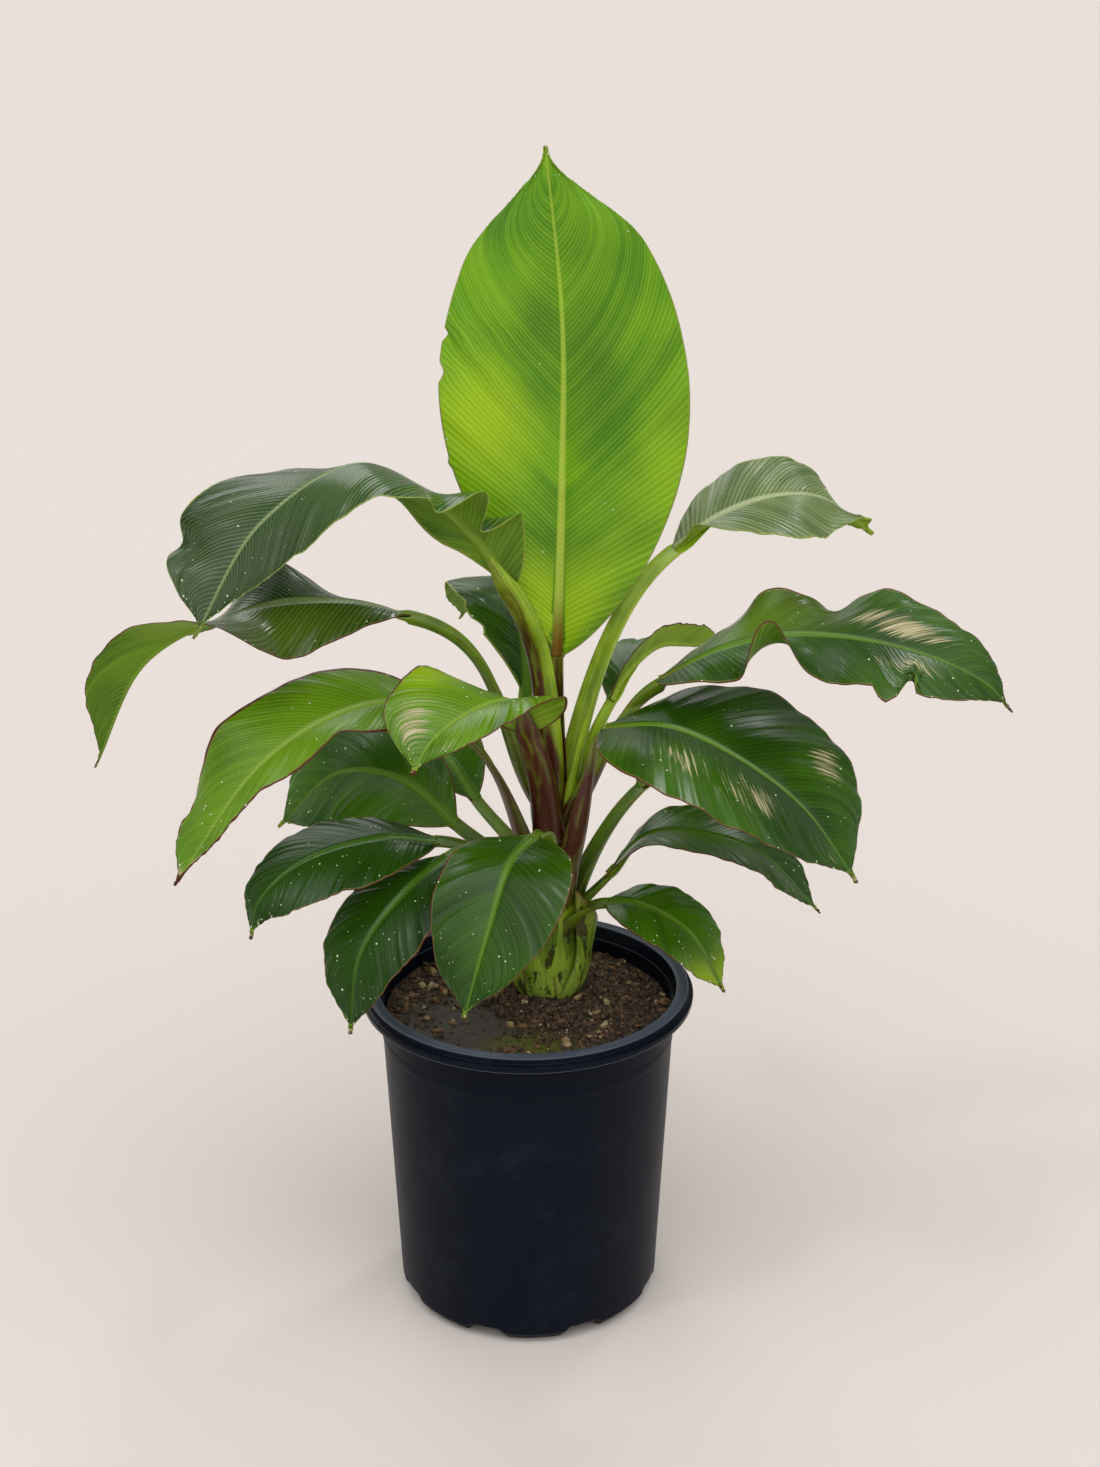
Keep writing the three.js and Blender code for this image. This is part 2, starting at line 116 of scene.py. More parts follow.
# from the innermost leaf to the outermost
LEAVES = [
    Leaf("spear", tint="bright", slot="leaf_bright", foot=440, neck=(25, 30, 563), rib=[(29, 42, 715),
         (29, 54, 835), (16, 66, 964)], heading=[90], roll=[0], left=Half(101, 0.55, 1.05, 0.64, [14]),
         right=Half(102, 0.5, 0.7, 0.66, [14]), relief=0.12, drip=0.2, hem=0.4, brown=0.3,
         dry=[(-1, 0.74, 0.86, 0.1, 0.16, 0.42)], notch=[(1, 0.66, 4, 0.014), (1, 0.58, 4, 0.02),
         (1, 0.4, -2, 0.01)], glow=[(1, 0.48, 0.65, 0.13, 0.5, 0.9), (1, 0.1, 0.5, 0.13, 0.7, 1),
         (-1, 0.1, 0.3, 0.13, 0.6, 0.8), (-1, 0.4, 0.9, 0.2, 0.5, 0.45),
         (-1, 0.58, 0.25, 0.2, 0.28, -0.55), (1, 0.68, 0.14, 0.14, 0.25, -0.7),
         (1, 0.3, 0.14, 0.07, 0.2, -0.4)], stalk=0.75, red=(1, 0.8, 0.9), blush=(0, 1.3), green_and_painted_shade=1),
    Leaf("upper_left", tint="silver", foot=430, neck=(-12, -2, 628), rib=[(-46, -18, 684),
         (-122, -42, 743), (-199, -62, 702), (-250, -100, 622)], heading=[185, 185, 190, 215, 240],
         roll=[85, 80, 8, -12, -20, -20, -20],
         left=Half(64, 0.45, 0.6, 0.9, [10, 10, 0, 0, 0], [(-120, 0.2, 0.04), (-35, 0.32, 0.03)]),
         right=Half(72, 0.68, 1.3, 0.45, [10, 0, -35, -25, 0, 0], [(-32, 0.83, 0.03)]), relief=0.08,
         hem=0.5, glow=[(1, 0.85, 0.5, 0.3, 1, -1), (-1, 0.85, 0.5, 0.3, 1, -1)], inset=5, stalk=1.35,
         red=(0.9, 1, 0.5), blush=(-0.45, 0.6), green_and_painted_shade=0.9),
    Leaf("upper_right", tint="pale", foot=445, neck=(120, 52, 648), rib=[(153, 62, 671), (200, 78, 685),
         (243, 94, 680), (290, 110, 644)], heading=[22], roll=[0, 12, 20, 20, -80],
         left=Half(52, 0.52, 0.6, 1.2, [0]),
         right=Half(56, 0.5, 0.9, 1.2, [20, 0, -5, -5], [(70, 0.1, 0.06)]), relief=0.16, hem=0.5,
         brown=0.2, dry=[(1, 0.6, 0.5, 0.3, 0.6, 0.35)], notch=[(-1, 0.93, -7, 0.02)],
         glow=[(-1, 0.45, 0.7, 0.4, 0.6, -0.5)], lean=0.2, inset=5, pulls=(0.4, 0.3), stalk=1.6,
         red=(0.1, 0, 0), green_and_painted_shade=1),
    Leaf("middle_left", tint="silver", foot=438, neck=(-92, 2, 610), rib=[(-139, -8, 624),
         (-216, -24, 622), (-296, -42, 586), (-340, -56, 502)], heading=[188, 188, 200],
         roll=[0, -15, -22, 10, 20, 20, 20],
         left=Half(55, 0.45, 0.8, 0.75, [-10, -22, -20, 0, 30, 55, 45]),
         right=Half(50, 0.45, 0.8, 0.75, [-30, -30, 5, -10, 10, 55, 45]), relief=0.06,
         glow=[(1, 0.35, 0.5, 0.3, 0.9, 0.35)], lean=0.6, pulls=(0.35, 0.45), stalk=1.45, depth=1.7,
         red=(0.5, 0.2, 0), green_and_painted_shade=0.35),
    Leaf("middle_right", tint="deep", foot=410, neck=(105, -12, 558), rib=[(155, -28, 590),
         (213, -46, 607), (296, -66, 600), (352, -80, 578), (374, -86, 556)], heading=[345],
         roll=[0, 15, 25, 25], left=Half(54, 0.55, 0.45, 0.5, [0], [(35, 0.32, 0.07), (-35, 0.48, 0.05),
         (22, 0.62, 0.06)]), right=Half(50, 0.55, 0.4, 0.5, [-5, -20, 0, 0], [(140, 0.36, 0.065),
         (-30, 0.52, 0.05)]), relief=0.05, hem=0.8, rim=1.1, dry=[(1, 0.66, 0.4, 0.17, 0.35, 0.88),
         (-1, 0.7, 0.4, 0.16, 0.3, 0.66)], notch=[(-1, 0.715, 16, 0.022), (-1, 0.665, -14, 0.045),
         (-1, 0.52, 8, 0.12)], glow=[(1, 0.3, 0.5, 0.25, 0.8, 0.3)], lean=0.6, inset=2, pulls=(0.4, 0.3),
         stalk=1.5, depth=1.9, red=(1, 0.8, 0.4), blush=(0.1, 0.5), green_and_painted_shade=0.4),
    Leaf("front_curled", tint="lime", slot="leaf_fresh", foot=400, neck=(1, -28, 518), rib=[(-8, -46, 552),
         (-42, -84, 558), (-72, -112, 544), (-87, -126, 522)], heading=[275, 245, 225, 225],
         roll=[0, -10, -30, -35], left=Half(45, 0.35, 0.5, 0.7, [0, 25, 25]),
         right=Half(61, 0.38, 0.75, 0.32, [10, -4, 0, 0, 0]), rim=1.2,
         dry=[(-1, 0.8, 0.45, 0.16, 0.5, 0.78), (1, 0.82, 0.6, 0.12, 0.4, 0.62)],
         glow=[(-1, 0.5, 0.9, 0.25, 0.4, 0.8)], stalk=1.4, red=(1, 1, 0.8), blush=(0, 1.3), green_and_painted_shade=0.3),
    Leaf("right_front", tint="deep", foot=380, neck=(62, -30, 524), rib=[(112, -60, 535), (161, -84, 520),
         (212, -108, 487), (254, -128, 432)], heading=[332], roll=[8, 8, 5],
         left=Half(90, 0.5, 0.8, 0.6, [5]), right=Half(97, 0.38, 0.6, 0.75, [5]), rim=1.0,
         dry=[(1, 0.68, 0.66, 0.09, 0.3, 0.8), (-1, 0.34, 0.5, 0.12, 0.35, 0.66),
         (-1, 0.6, 0.45, 0.14, 0.4, 0.7), (-1, 0.9, 0.5, 0.05, 0.5, 0.6)], lean=0.5, pulls=(0.5, 0.12),
         stalk=1.2, red=(1, 1, 0.3), blush=(-0.25, 0.7)),
    Leaf("back_right", tint="fresh", slot="leaf_fresh", foot=410, neck=(70, 56, 516), rib=[(84, 70, 535),
         (112, 98, 550), (142, 120, 544), (172, 140, 538)], heading=[45], roll=[0, 0, 0, -20],
         left=Half(44, 0.4, 0.7, 0.75, [-8]), right=Half(20, 0.6, 0.6, 0.4, [75]),
         dry=[(-1, 0.97, 0.5, 0.05, 1, 0.9)], stalk=0.75, green_and_painted_shade=0.9),
    Leaf("back_left", tint="deep", foot=390, neck=(0, 66, 505), rib=[(-2, 84, 555), (-12, 112, 592),
         (-30, 165, 592), (-60, 225, 535)], heading=[110], roll=[0, -5, -10],
         left=Half(48, 0.45, 1.5, 0.75, [5]), right=Half(46, 0.45, 1.5, 0.75, [5]), hem=0.4,
         notch=[(1, 0.3, 5, 0.03), (1, 0.4, 4, 0.02)]),
    Leaf("lower_left", tint="lime", slot="leaf_bright", foot=370, neck=(-62, -18, 522),
         rib=[(-102, -28, 545), (-151, -44, 540), (-209, -60, 505), (-278, -88, 414)], heading=[200],
         roll=[-10, -20, -20, -20], left=Half(37, 0.33, 0.7, 0.9, [5], [(-35, 0.2, 0.05), (35, 0.36, 0.06),
         (-30, 0.55, 0.06)]), right=Half(53, 0.42, 0.7, 0.42, [5], [(30, 0.6, 0.08), (-25, 0.8, 0.06)]),
         slant=1.5, drip=0.55, rim=1.9, char=0.07, dry=[(1, 0.97, 0.8, 0.08, 0.7, 1.5),
         (1, 0.86, 1, 0.14, 0.14, 1.3), (-1, 0.98, 0.5, 0.025, 0.9, 1.3)], notch=[(1, 0.62, 7, 0.24),
         (-1, 0.91, -7, 0.07)], lean=0.4, stalk=1.4, red=(0.9, 0.7, 0.3), blush=(0.2, 0.8), green_and_painted_shade=0.15),
    Leaf("rear_left", tint="fresh", foot=345, neck=(-60, 54, 406), rib=[(-105, 70, 440), (-160, 84, 442),
         (-216, 98, 386)], heading=[165], roll=[-45, -45, -35], left=Half(58, 0.45, 0.8, 0.75, [5]),
         right=Half(50, 0.5, 0.8, 0.5, [5]), brown=0.4, lean=0.5, stalk=0.85, green_and_painted_shade=0.15),
    Leaf("rear_left_inner", tint="deep", foot=350, neck=(-44, 90, 415), rib=[(-76, 130, 445),
         (-115, 180, 440), (-155, 235, 365)], heading=[130], roll=[-10],
         left=Half(45, 0.4, 0.7, 0.75, [5]), lean=0.4, stalk=0.8, green_and_painted_shade=0.2),
    Leaf("low_left", tint="dark", foot=340, neck=(-72, -22, 424), rib=[(-118, -40, 434), (-180, -66, 424),
         (-214, -84, 396), (-220, -90, 368)], heading=[205], roll=[-17],
         left=Half(44, 0.42, 0.7, 0.6, [-12]), lean=0.5, red=(0.2, 0, 0), green_and_painted_shade=0.2),
    Leaf("low_front_left", tint="dark", foot=335, neck=(-64, -42, 419), rib=[(-98, -72, 400),
         (-132, -98, 360), (-141, -120, 299)], heading=[225], roll=[10, 3, 0],
         left=Half(46, 0.42, 0.7, 0.7, [-14, -14, 0]), right=Half(45, 0.42, 0.7, 0.7, [5]), lean=0.5,
         red=(0.2, 0, 0), green_and_painted_shade=0.2),
    Leaf("low_front", tint="deep", slot="leaf_fresh", foot=330, neck=(6, -56, 441), rib=[(-14, -91, 432),
         (-30, -120, 391), (-50, -150, 327)], heading=[245], roll=[0],
         left=Half(60, 0.33, 0.55, 0.95, [5]), right=Half(51, 0.42, 0.65, 0.7, [5, 12, 5]), relief=0.01,
         brown=0.5, dry=[(1, 0.42, 1, 0.03, 0.08, 0.7)], glow=[(1, 0.4, 0.5, 0.4, 0.8, -0.8),
         (-1, 0.5, 0.6, 0.4, 0.7, -0.3)], lean=0.3, stalk=0.8, red=(0.3, 0, 0), green_and_painted_shade=0.25),
    Leaf("rear_right", tint="fresh", foot=330, neck=(96, 64, 436), rib=[(136, 96, 461), (185, 132, 442),
         (240, 164, 380)], heading=[32], roll=[0], left=Half(45, 0.42, 0.6, 0.75, [5]), lean=0.35,
         red=(0.2, 0, 0), green_and_painted_shade=0.25, seams=(120, 80)),
    Leaf("low_right", tint="fresh", foot=320, neck=(66, 22, 372), rib=[(100, 8, 415), (136, 0, 421),
         (190, -8, 407), (242, -22, 357)], heading=[350], roll=[0, 5, 10],
         left=Half(45, 0.5, 1.1, 0.55, [5]), right=Half(42, 0.5, 1.1, 0.55, [5]),
         dry=[(1, 0.8, 0.6, 0.06, 0.3, 0.5)], red=(0.2, 0, 0), green_and_painted_shade=0.3, seams=(120, 60)),
    Leaf("low_right_small", tint="fresh", foot=322, neck=(66, 0, 358), rib=[(90, -12, 362),
         (132, -30, 345), (162, -48, 298)], heading=[335], roll=[10], left=Half(38, 0.42, 0.6, 0.7, [0]),
         right=Half(40, 0.42, 0.6, 0.7, [0]), dry=[(-1, 0.6, 1, 0.05, 0.06, 0.6)],
         glow=[(1, 0.9, 0.6, 0.15, 1, 0.6), (-1, 0.9, 0.6, 0.2, 1, 0.7)], lean=0.4, red=(0.3, 0.3, 0),
         green_and_painted_shade=0.3, seams=(120, 40)),
]

# ---- curves and surfaces


def hermite(s, a, leaving, b, arriving):
    """From a to b as s goes from 0 to 1, with the slopes at both ends."""
    return ((2 * s**3 - 3 * s**2 + 1) * a + (s**3 - 2 * s**2 + s) * leaving
            + (3 * s**2 - 2 * s**3) * b + (s**3 - s**2) * arriving)


def ease(values, t):
    """Smooth values at t from ones spread evenly over 0 to 1."""
    v = np.asarray(values, float)
    last = len(v) - 1
    t = np.asarray(t, float)
    if last == 0:
        return np.full(t.shape, v[0])
    x = np.clip(t, 0, 1) * last
    i = np.minimum(x.astype(int), last - 1)
    f = x - i
    slope = np.gradient(v)
    return hermite(f, v[i], slope[i], v[i + 1], slope[i + 1])


def smooth(t, low, high):
    """A soft step from 0 at low to 1 at high."""
    q = np.clip((t - low) / (high - low), 0, 1)
    return q * q * (3 - 2 * q)


def between(a, b, share):
    """From a to b as the share goes from 0 to 1."""
    return a + (b - a) * share


def unit(v):
    return v / np.linalg.norm(v, axis=-1, keepdims=True)


def catmull(points, per=120):
    """A centripetal Catmull-Rom curve through the points."""
    p = np.array(points, float)
    p = np.vstack([2 * p[0] - p[1], p, 2 * p[-1] - p[-2]])
    out = []
    for a, b, c, d in zip(p, p[1:], p[2:], p[3:]):
        k1, k2, k3 = (np.sqrt(np.linalg.norm(v)) for v in (b - a, c - b, d - c))
        m1 = k2 * ((b - a) / k1 - (c - a) / (k1 + k2) + (c - b) / k2)
        m2 = k2 * ((c - b) / k2 - (d - b) / (k2 + k3) + (d - c) / k3)
        s = np.linspace(0, 1, per, endpoint=False)[:, None]
        out.append(hermite(s, b, m1, c, m2))
    return np.vstack([*out, p[-2:-1]])


def bezier(points, n=160):
    a, b, c, d = (np.array(q, float) for q in points)
    s = np.linspace(0, 1, n)[:, None]
    return (1 - s)**3 * a + 3 * (1 - s)**2 * s * b + 3 * (1 - s) * s**2 * c + s**3 * d


class Path:
    """A curve by its share of length, with its tangents."""

    def __init__(self, points):
        self.p = points
        at = np.r_[0, np.cumsum(np.linalg.norm(np.diff(points, axis=0), axis=1))]
        self.length = at[-1]
        self.t = at / at[-1]
        self.along = unit(np.gradient(points, at, axis=0, edge_order=2))

    def at(self, t, values=None):
        values = self.p if values is None else values
        return np.stack([np.interp(t, self.t, values[:, k]) for k in range(3)], -1)


def attitude(along, heading, roll):
    """Left and upper directions of a blade or petiole that runs along."""
    h, r = np.radians(heading), np.radians(roll)[..., None]
    side = np.stack([-np.sin(h), np.cos(h), 0 * h], -1)
    side = unit(side - along * (side * along).sum(-1, keepdims=True))
    upper = np.cross(along, side)
    side = side * np.cos(r) + upper * np.sin(r)
    return side, np.cross(along, side)


def stem_at(z):
    """The stem's centre and half widths at a height."""
    x, y, wide, deep = (np.interp(z, STEM[:, 2], STEM[:, k]) for k in (0, 1, 3, 4))
    return np.stack([x, y, np.asarray(z, float)], -1), np.stack([wide, deep], -1)


def waves(seed, t, lengths):
    """A smooth irregular wave along t, between about -1 and 1."""
    rng = random.Random(seed)
    total = sum(np.sin(2 * math.pi * (t * n + rng.random())) * rng.uniform(0.5, 1) for n in lengths)
    return total / len(lengths)


# ---- meshes

CM = 10.0  # millimetres in a unit of the grain

def mesh_object(name, verts, faces, materials, kinds=None, marks=None, uv=None, sharp=None):
    """A mesh from points in millimetres. kinds picks each face's material, marks are four
    numbers a point that materials read, and uv is the grain in centimetres."""
    mesh = bpy.data.meshes.new(name)
    mesh.from_pydata((np.asarray(verts) * MM).tolist(), [], faces)
    for material in materials:
        mesh.materials.append(material)
    if kinds is not None:
        mesh.polygons.foreach_set("material_index", np.asarray(kinds, np.int32))
    corner = np.empty(len(mesh.loops), np.int32)
    mesh.loops.foreach_get("vertex_index", corner)
    if marks is not None:
        layer = mesh.color_attributes.new("marks", "FLOAT_COLOR", "POINT")
        layer.data.foreach_set("color", np.asarray(marks, np.float32).ravel())
    if uv is not None:
        layer = mesh.uv_layers.new(name="grain")
        layer.data.foreach_set("uv", np.asarray(uv, np.float32)[corner].ravel())
    mesh.shade_smooth()
    if sharp:
        mesh.set_sharp_from_angle(angle=math.radians(sharp))
    mesh.validate()
    piece = bpy.data.objects.new(name, mesh)
    bpy.context.collection.objects.link(piece)
    return piece


def loft_faces(rows, n):
    """Quads over rows of n ring points, closed by a zip of quads at both ends."""
    r, k = np.meshgrid(np.arange(rows - 1), np.arange(n), indexing="ij")
    a, b = r * n + k, r * n + (k + 1) % n
    sides = np.stack([a, b, b + n, a + n], -1).reshape(-1, 4)
    k = np.arange(n // 2 - 1)
    o = n - 1 - k
    first = np.stack([k, o, o - 1, k + 1], -1)
    last = (rows - 1) * n + np.stack([k, k + 1, o - 1, o], -1)
    return np.vstack([sides, first, last])


def folded(name, upper, lower, mark, uv, *materials):
    """A closed body between two sheets of points that share their marks and their grain. A
    second material goes on the lower sheet."""
    def both(values):
        return np.concatenate([values, values[:, ::-1]], 1).reshape(-1, values.shape[-1])

    ring = np.concatenate([upper, lower[:, ::-1]], 1)
    rows, n = ring.shape[:2]
    faces = loft_faces(rows, n)
    kinds = None
    if len(materials) > 1:
        kinds = np.zeros(len(faces), int)
        k = np.tile(np.arange(n), rows - 1)
        kinds[:len(k)] = (k >= n // 2) & (k < n - 1)
    return mesh_object(name, ring.reshape(-1, 3), faces.tolist(), materials, kinds, both(mark), both(uv))


def lathe(name, profile, sides, material, shape, marks=None, sharp=None):
    """A closed turned body from (radius, height) points that start and end on the axis."""
    ring = np.array(profile[1:-1], float)
    a = np.linspace(0, 2 * math.pi, sides, endpoint=False)
    r, z = ring[:, 0][:, None], np.repeat(ring[:, 1][:, None], sides, 1)
    verts = np.stack([r * np.cos(a), r * np.sin(a), z], -1).reshape(-1, 3)
    verts = shape(np.vstack([verts, [(0, 0, profile[0][1]), (0, 0, profile[-1][1])]]))
    rows = len(ring)
    i, k = np.meshgrid(np.arange(rows - 1), np.arange(sides), indexing="ij")
    p, q = i * sides + k, i * sides + (k + 1) % sides
    faces = np.stack([p, q, q + sides, p + sides], -1).reshape(-1, 4).tolist()
    turn = [(k, (k + 1) % sides) for k in range(sides)]
    low, high = rows * sides, rows * sides + 1
    faces += [(low, b, a) for a, b in turn]
    top = (rows - 1) * sides
    faces += [(high, top + a, top + b) for a, b in turn]
    colours = marks(verts) if marks else None
    return mesh_object(name, verts, faces, [material], marks=colours, sharp=sharp)


def place(piece, slot, *nodes):
    """Put a piece on the part's body in place of the nodes it dresses. The slot is not used."""
    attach(piece, "root")
    if nodes:
        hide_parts(*nodes)


# ---- materials


def linear(r, g, b):
    """A colour given as 0 to 255 screen values."""
    def one(c):
        c /= 255
        return c / 12.92 if c <= 0.04045 else ((c + 0.055) / 1.055)**2.4
    return (one(r), one(g), one(b), 1.0)


def mixed(a, b, share):
    return tuple(p + (q - p) * share for p, q in zip(a, b))


class Nodes:
    """A short way to write a material's nodes."""

    def __init__(self, name):
        self.material = bpy.data.materials.new(name)
        self.material.use_nodes = True
        self.tree = self.material.node_tree
        self.shader = self.tree.nodes["Principled BSDF"]

    def add(self, kind, inputs=(), **settings):
        node = self.tree.nodes.new("ShaderNode" + kind)
        for key, value in settings.items():
            setattr(node, key, value)
        for key, value in dict(inputs).items():
            self.put(node.inputs[key], value)
        return node

    def put(self, socket, value):
        if isinstance(value, bpy.types.NodeSocket):
            self.tree.links.new(value, socket)
        elif isinstance(value, bpy.types.Node):
            self.tree.links.new(value.outputs[0], socket)
        else:
            socket.default_value = value

    def place(self):
        return self.add("TexCoord").outputs["Object"]

    def grain(self):
        """The place along and across a leaf, in centimetres."""
        return self.add("UVMap", uv_map="grain").outputs[0]

    def marks(self):
        mark = self.add("Attribute", attribute_name="marks")
        return [*self.add("SeparateColor", {0: mark.outputs["Color"]}).outputs, mark.outputs["Alpha"]]

    def height(self, place_):
        return self.add("SeparateXYZ", {0: place_}).outputs[2]

    def mix(self, share, a, b):
        node = self.add("Mix", data_type="RGBA")
        self.put(node.inputs[0], share)
        self.put(node.inputs[6], a)
        self.put(node.inputs[7], b)
        return node.outputs[2]

    def math(self, operation, a, b=0.0, clamp=False):
        return self.add("Math", {0: a, 1: b}, operation=operation, use_clamp=clamp).outputs[0]

    def plus(self, a, b):
        return self.math("ADD", a, b)

    def times(self, a, b):
        return self.math("MULTIPLY", a, b)

    def ramp(self, value, low, high, to_low=0.0, to_high=1.0):
        node = self.add("MapRange", {0: value, 1: low, 2: high, 3: to_low, 4: to_high},
                        interpolation_type="SMOOTHSTEP")
        return node.outputs[0]

    def noise(self, vector, scale, detail=3.0, rough=0.55):
        node = self.add("TexNoise", {"Vector": vector, "Scale": scale, "Detail": detail,
                                     "Roughness": rough})
        return node.outputs[0]

    def stretch(self, vector, x, y, z=1.0):
        return self.add("Mapping", {"Vector": vector, "Scale": (x, y, z)}).outputs[0]

    def bump(self, height, strength, distance, under=None):
        node = self.add("Bump", {"Height": height, "Strength": strength, "Distance": distance})
        if under is not None:
            self.put(node.inputs["Normal"], under)
        return node.outputs[0]

    def finish(self, colour, rough, normal=None, **fixed):
        self.put(self.shader.inputs["Base Color"], colour)
        self.put(self.shader.inputs["Roughness"], rough)
        if normal is not None:
            self.put(self.shader.inputs["Normal"], normal)
        for key, value in fixed.items():
            self.shader.inputs[key.replace("_", " ")].default_value = value
        return self.material


BLACK = (0, 0, 0, 1)
RIM_HIGHLIGHT_HEIGHTS = (273.0, 283.7)  # heights of the painted highlight lines along the pot rim's edges


def leaf_material(name, dark, light, rib, rough, vein, gloss):
    """Parallel side veins, a pale midrib, a thin coloured margin, dry patches, and painted light and
    painted shade.
    """
    n = Nodes(name)
    grain, place_ = n.grain(), n.place()
    dry, margin, midrib, glow = n.marks()
    bands = n.noise(n.stretch(grain, 0.8, 0.04), 1.0, 2.0, 0.5)
    veins = n.add("TexWave", {"Vector": n.stretch(grain, 1.0, 0.04), "Scale": 0.314 * 10 / PLEAT,
                              "Distortion": 1.2, "Detail": 2.0, "Detail Scale": 0.7}).outputs[1]
    fine = n.noise(n.stretch(grain, 9.0, 0.1), 1.0, 2.0, 0.5)
    clouds = n.noise(place_, 8.0, 2.0)
    tone = n.plus(n.times(bands, 0.25), n.times(clouds, 0.75))
    colour = n.mix(n.ramp(tone, 0.38, 0.62), dark, light)
    # painted light and painted shade by the glow mark: lighter yellow-green above 0, darker below 0
    colour = n.mix(n.ramp(glow, 0.0, 1.0, 0.0, 0.8), colour, mixed(light, linear(212, 244, 20), 0.6))
    colour = n.mix(n.ramp(glow, 0.0, -1.0, 0.0, 0.7), colour, mixed(dark, BLACK, 0.35))

    # pale lines on the veins, partly their own paler colour and partly painted highlight, and painted
    # shade in the furrows between them
    lines = n.times(n.ramp(veins, 0.55, 1.0), n.ramp(bands, 0.3, 0.6, 0.2 * vein, 0.6 * vein))
    lines = n.plus(lines, n.ramp(fine, 0.5, 0.75, 0.0, 0.35 * vein))
    colour = n.mix(lines, colour, mixed(light, rib, 0.5))
    painted_furrow_shade = n.plus(n.ramp(veins, 0.4, 0.0, 0.0, 0.35 * vein), n.ramp(fine, 0.46, 0.3, 0.0, 0.4 * vein))
    colour = n.mix(painted_furrow_shade, colour, mixed(dark, BLACK, 0.3))

    # dried streaks, which are brown where the patch is strongest
    streaks = n.noise(n.stretch(grain, 5.5, 0.3), 1.0, 3.0, 0.6)
    dried = n.math("SUBTRACT", n.times(dry, 1.15), n.times(streaks, 1.7))
    dried = n.ramp(dried, -0.2, 0.16)
    straw = n.mix(n.ramp(streaks, 0.4, 0.6), linear(196, 186, 146), linear(150, 140, 92))
    colour = n.mix(dried, colour, straw)
    colour = n.mix(n.ramp(n.times(dry, dry), 0.82, 1.0), colour, linear(84, 50, 30))

    colour = n.mix(midrib, colour, n.mix(n.ramp(glow, 0.0, -1.0), rib, linear(138, 72, 26)))
    colour = n.mix(n.ramp(margin, 0.0, 0.5), colour, linear(140, 158, 62))
    colour = n.mix(n.ramp(margin, 0.5, 0.8), colour, linear(96, 52, 32))
    shine = n.plus(n.plus(rough, n.times(fine, 0.15)), n.times(dried, 0.2))
    normal = n.bump(n.plus(veins, n.times(fine, 0.6)), 0.05 + 0.3 * vein, 0.0004)
    return n.finish(colour, shine, normal, Specular_IOR_Level=gloss)


def sheath_material(name, deep, fresh, red):
    """Waxy ribbed sheaths and petioles with maroon flushes and blackish blotches."""
    n = Nodes(name)
    grain, place_ = n.grain(), n.place()
    flush, edge, blotch, green_and_painted_shade = n.marks()
    lines = n.noise(n.stretch(grain, 0.12, 5.0), 1.0, 3.0, 0.6)
    clouds = n.noise(place_, 30.0, 2.0)
    tone = n.ramp(n.plus(n.times(lines, 0.5), n.times(clouds, 0.5)), 0.35, 0.62)
    # dark to bright green by the fourth mark, partly the petiole's own green and partly painted shade
    colour = n.mix(green_and_painted_shade, n.mix(tone, *deep), n.mix(tone, *fresh))
    streaks = n.ramp(n.noise(n.stretch(grain, 0.25, 1.6), 1.0, 3.0), 0.36, 0.6, 0.7, 1.35)
    colour = n.mix(n.math("MULTIPLY", flush, streaks, True), colour, red)
    # paler yellow-green towards the soil: partly the stem foot's own colour and partly painted light where
    # the crown shades it
    colour = n.mix(n.ramp(n.height(place_), 0.32, 0.262, 0.0, 0.65), colour, linear(190, 220, 96))
    spots = n.noise(n.stretch(grain, 0.4, 0.9), 1.0, 4.0, 0.65)
    dots = n.noise(n.stretch(grain, 2.2, 4.5), 1.0, 2.0, 0.6)
    spots = n.math("MAXIMUM", n.ramp(spots, 0.545, 0.575), n.ramp(dots, 0.62, 0.66, 0.0, 0.85))
    colour = n.mix(n.times(n.times(spots, blotch), 0.85), colour, linear(48, 26, 16))
    colour = n.mix(edge, colour, linear(128, 96, 58))
    rough = n.plus(0.3, n.times(lines, 0.2))
    normal = n.bump(lines, 0.3, 0.0006)
    return n.finish(colour, rough, normal, Coat_Weight=0.08, Coat_Roughness=0.25)


def pot_material():
    """Dark moulded plastic, a little dusty, with painted highlight lines along the rim's edges."""
    n = Nodes("pot_plastic")
    place_ = n.place()
    rings = n.noise(n.stretch(place_, 1.0, 1.0, 60.0), 6.0, 3.0)
    dust = n.noise(place_, 22.0, 4.0, 0.65)
    colour = n.mix(n.ramp(dust, 0.5, 0.8), linear(15, 20, 32), linear(26, 32, 44))
    height = n.height(place_)
    # painted highlight lines along the rim's two edges
    for at in RIM_HIGHLIGHT_HEIGHTS:
        off = n.math("ABSOLUTE", n.math("SUBTRACT", height, at * MM))
        colour = n.mix(n.ramp(off, 0.0007, 0.0001, 0.0, 0.75), colour, linear(96, 106, 124))
    rough = n.plus(n.ramp(height, 0.262, 0.272, 0.3, 0.08), n.times(dust, 0.2))
    return n.finish(colour, rough, n.bump(rings, 0.12, 0.0004), Specular_IOR_Level=0.06)


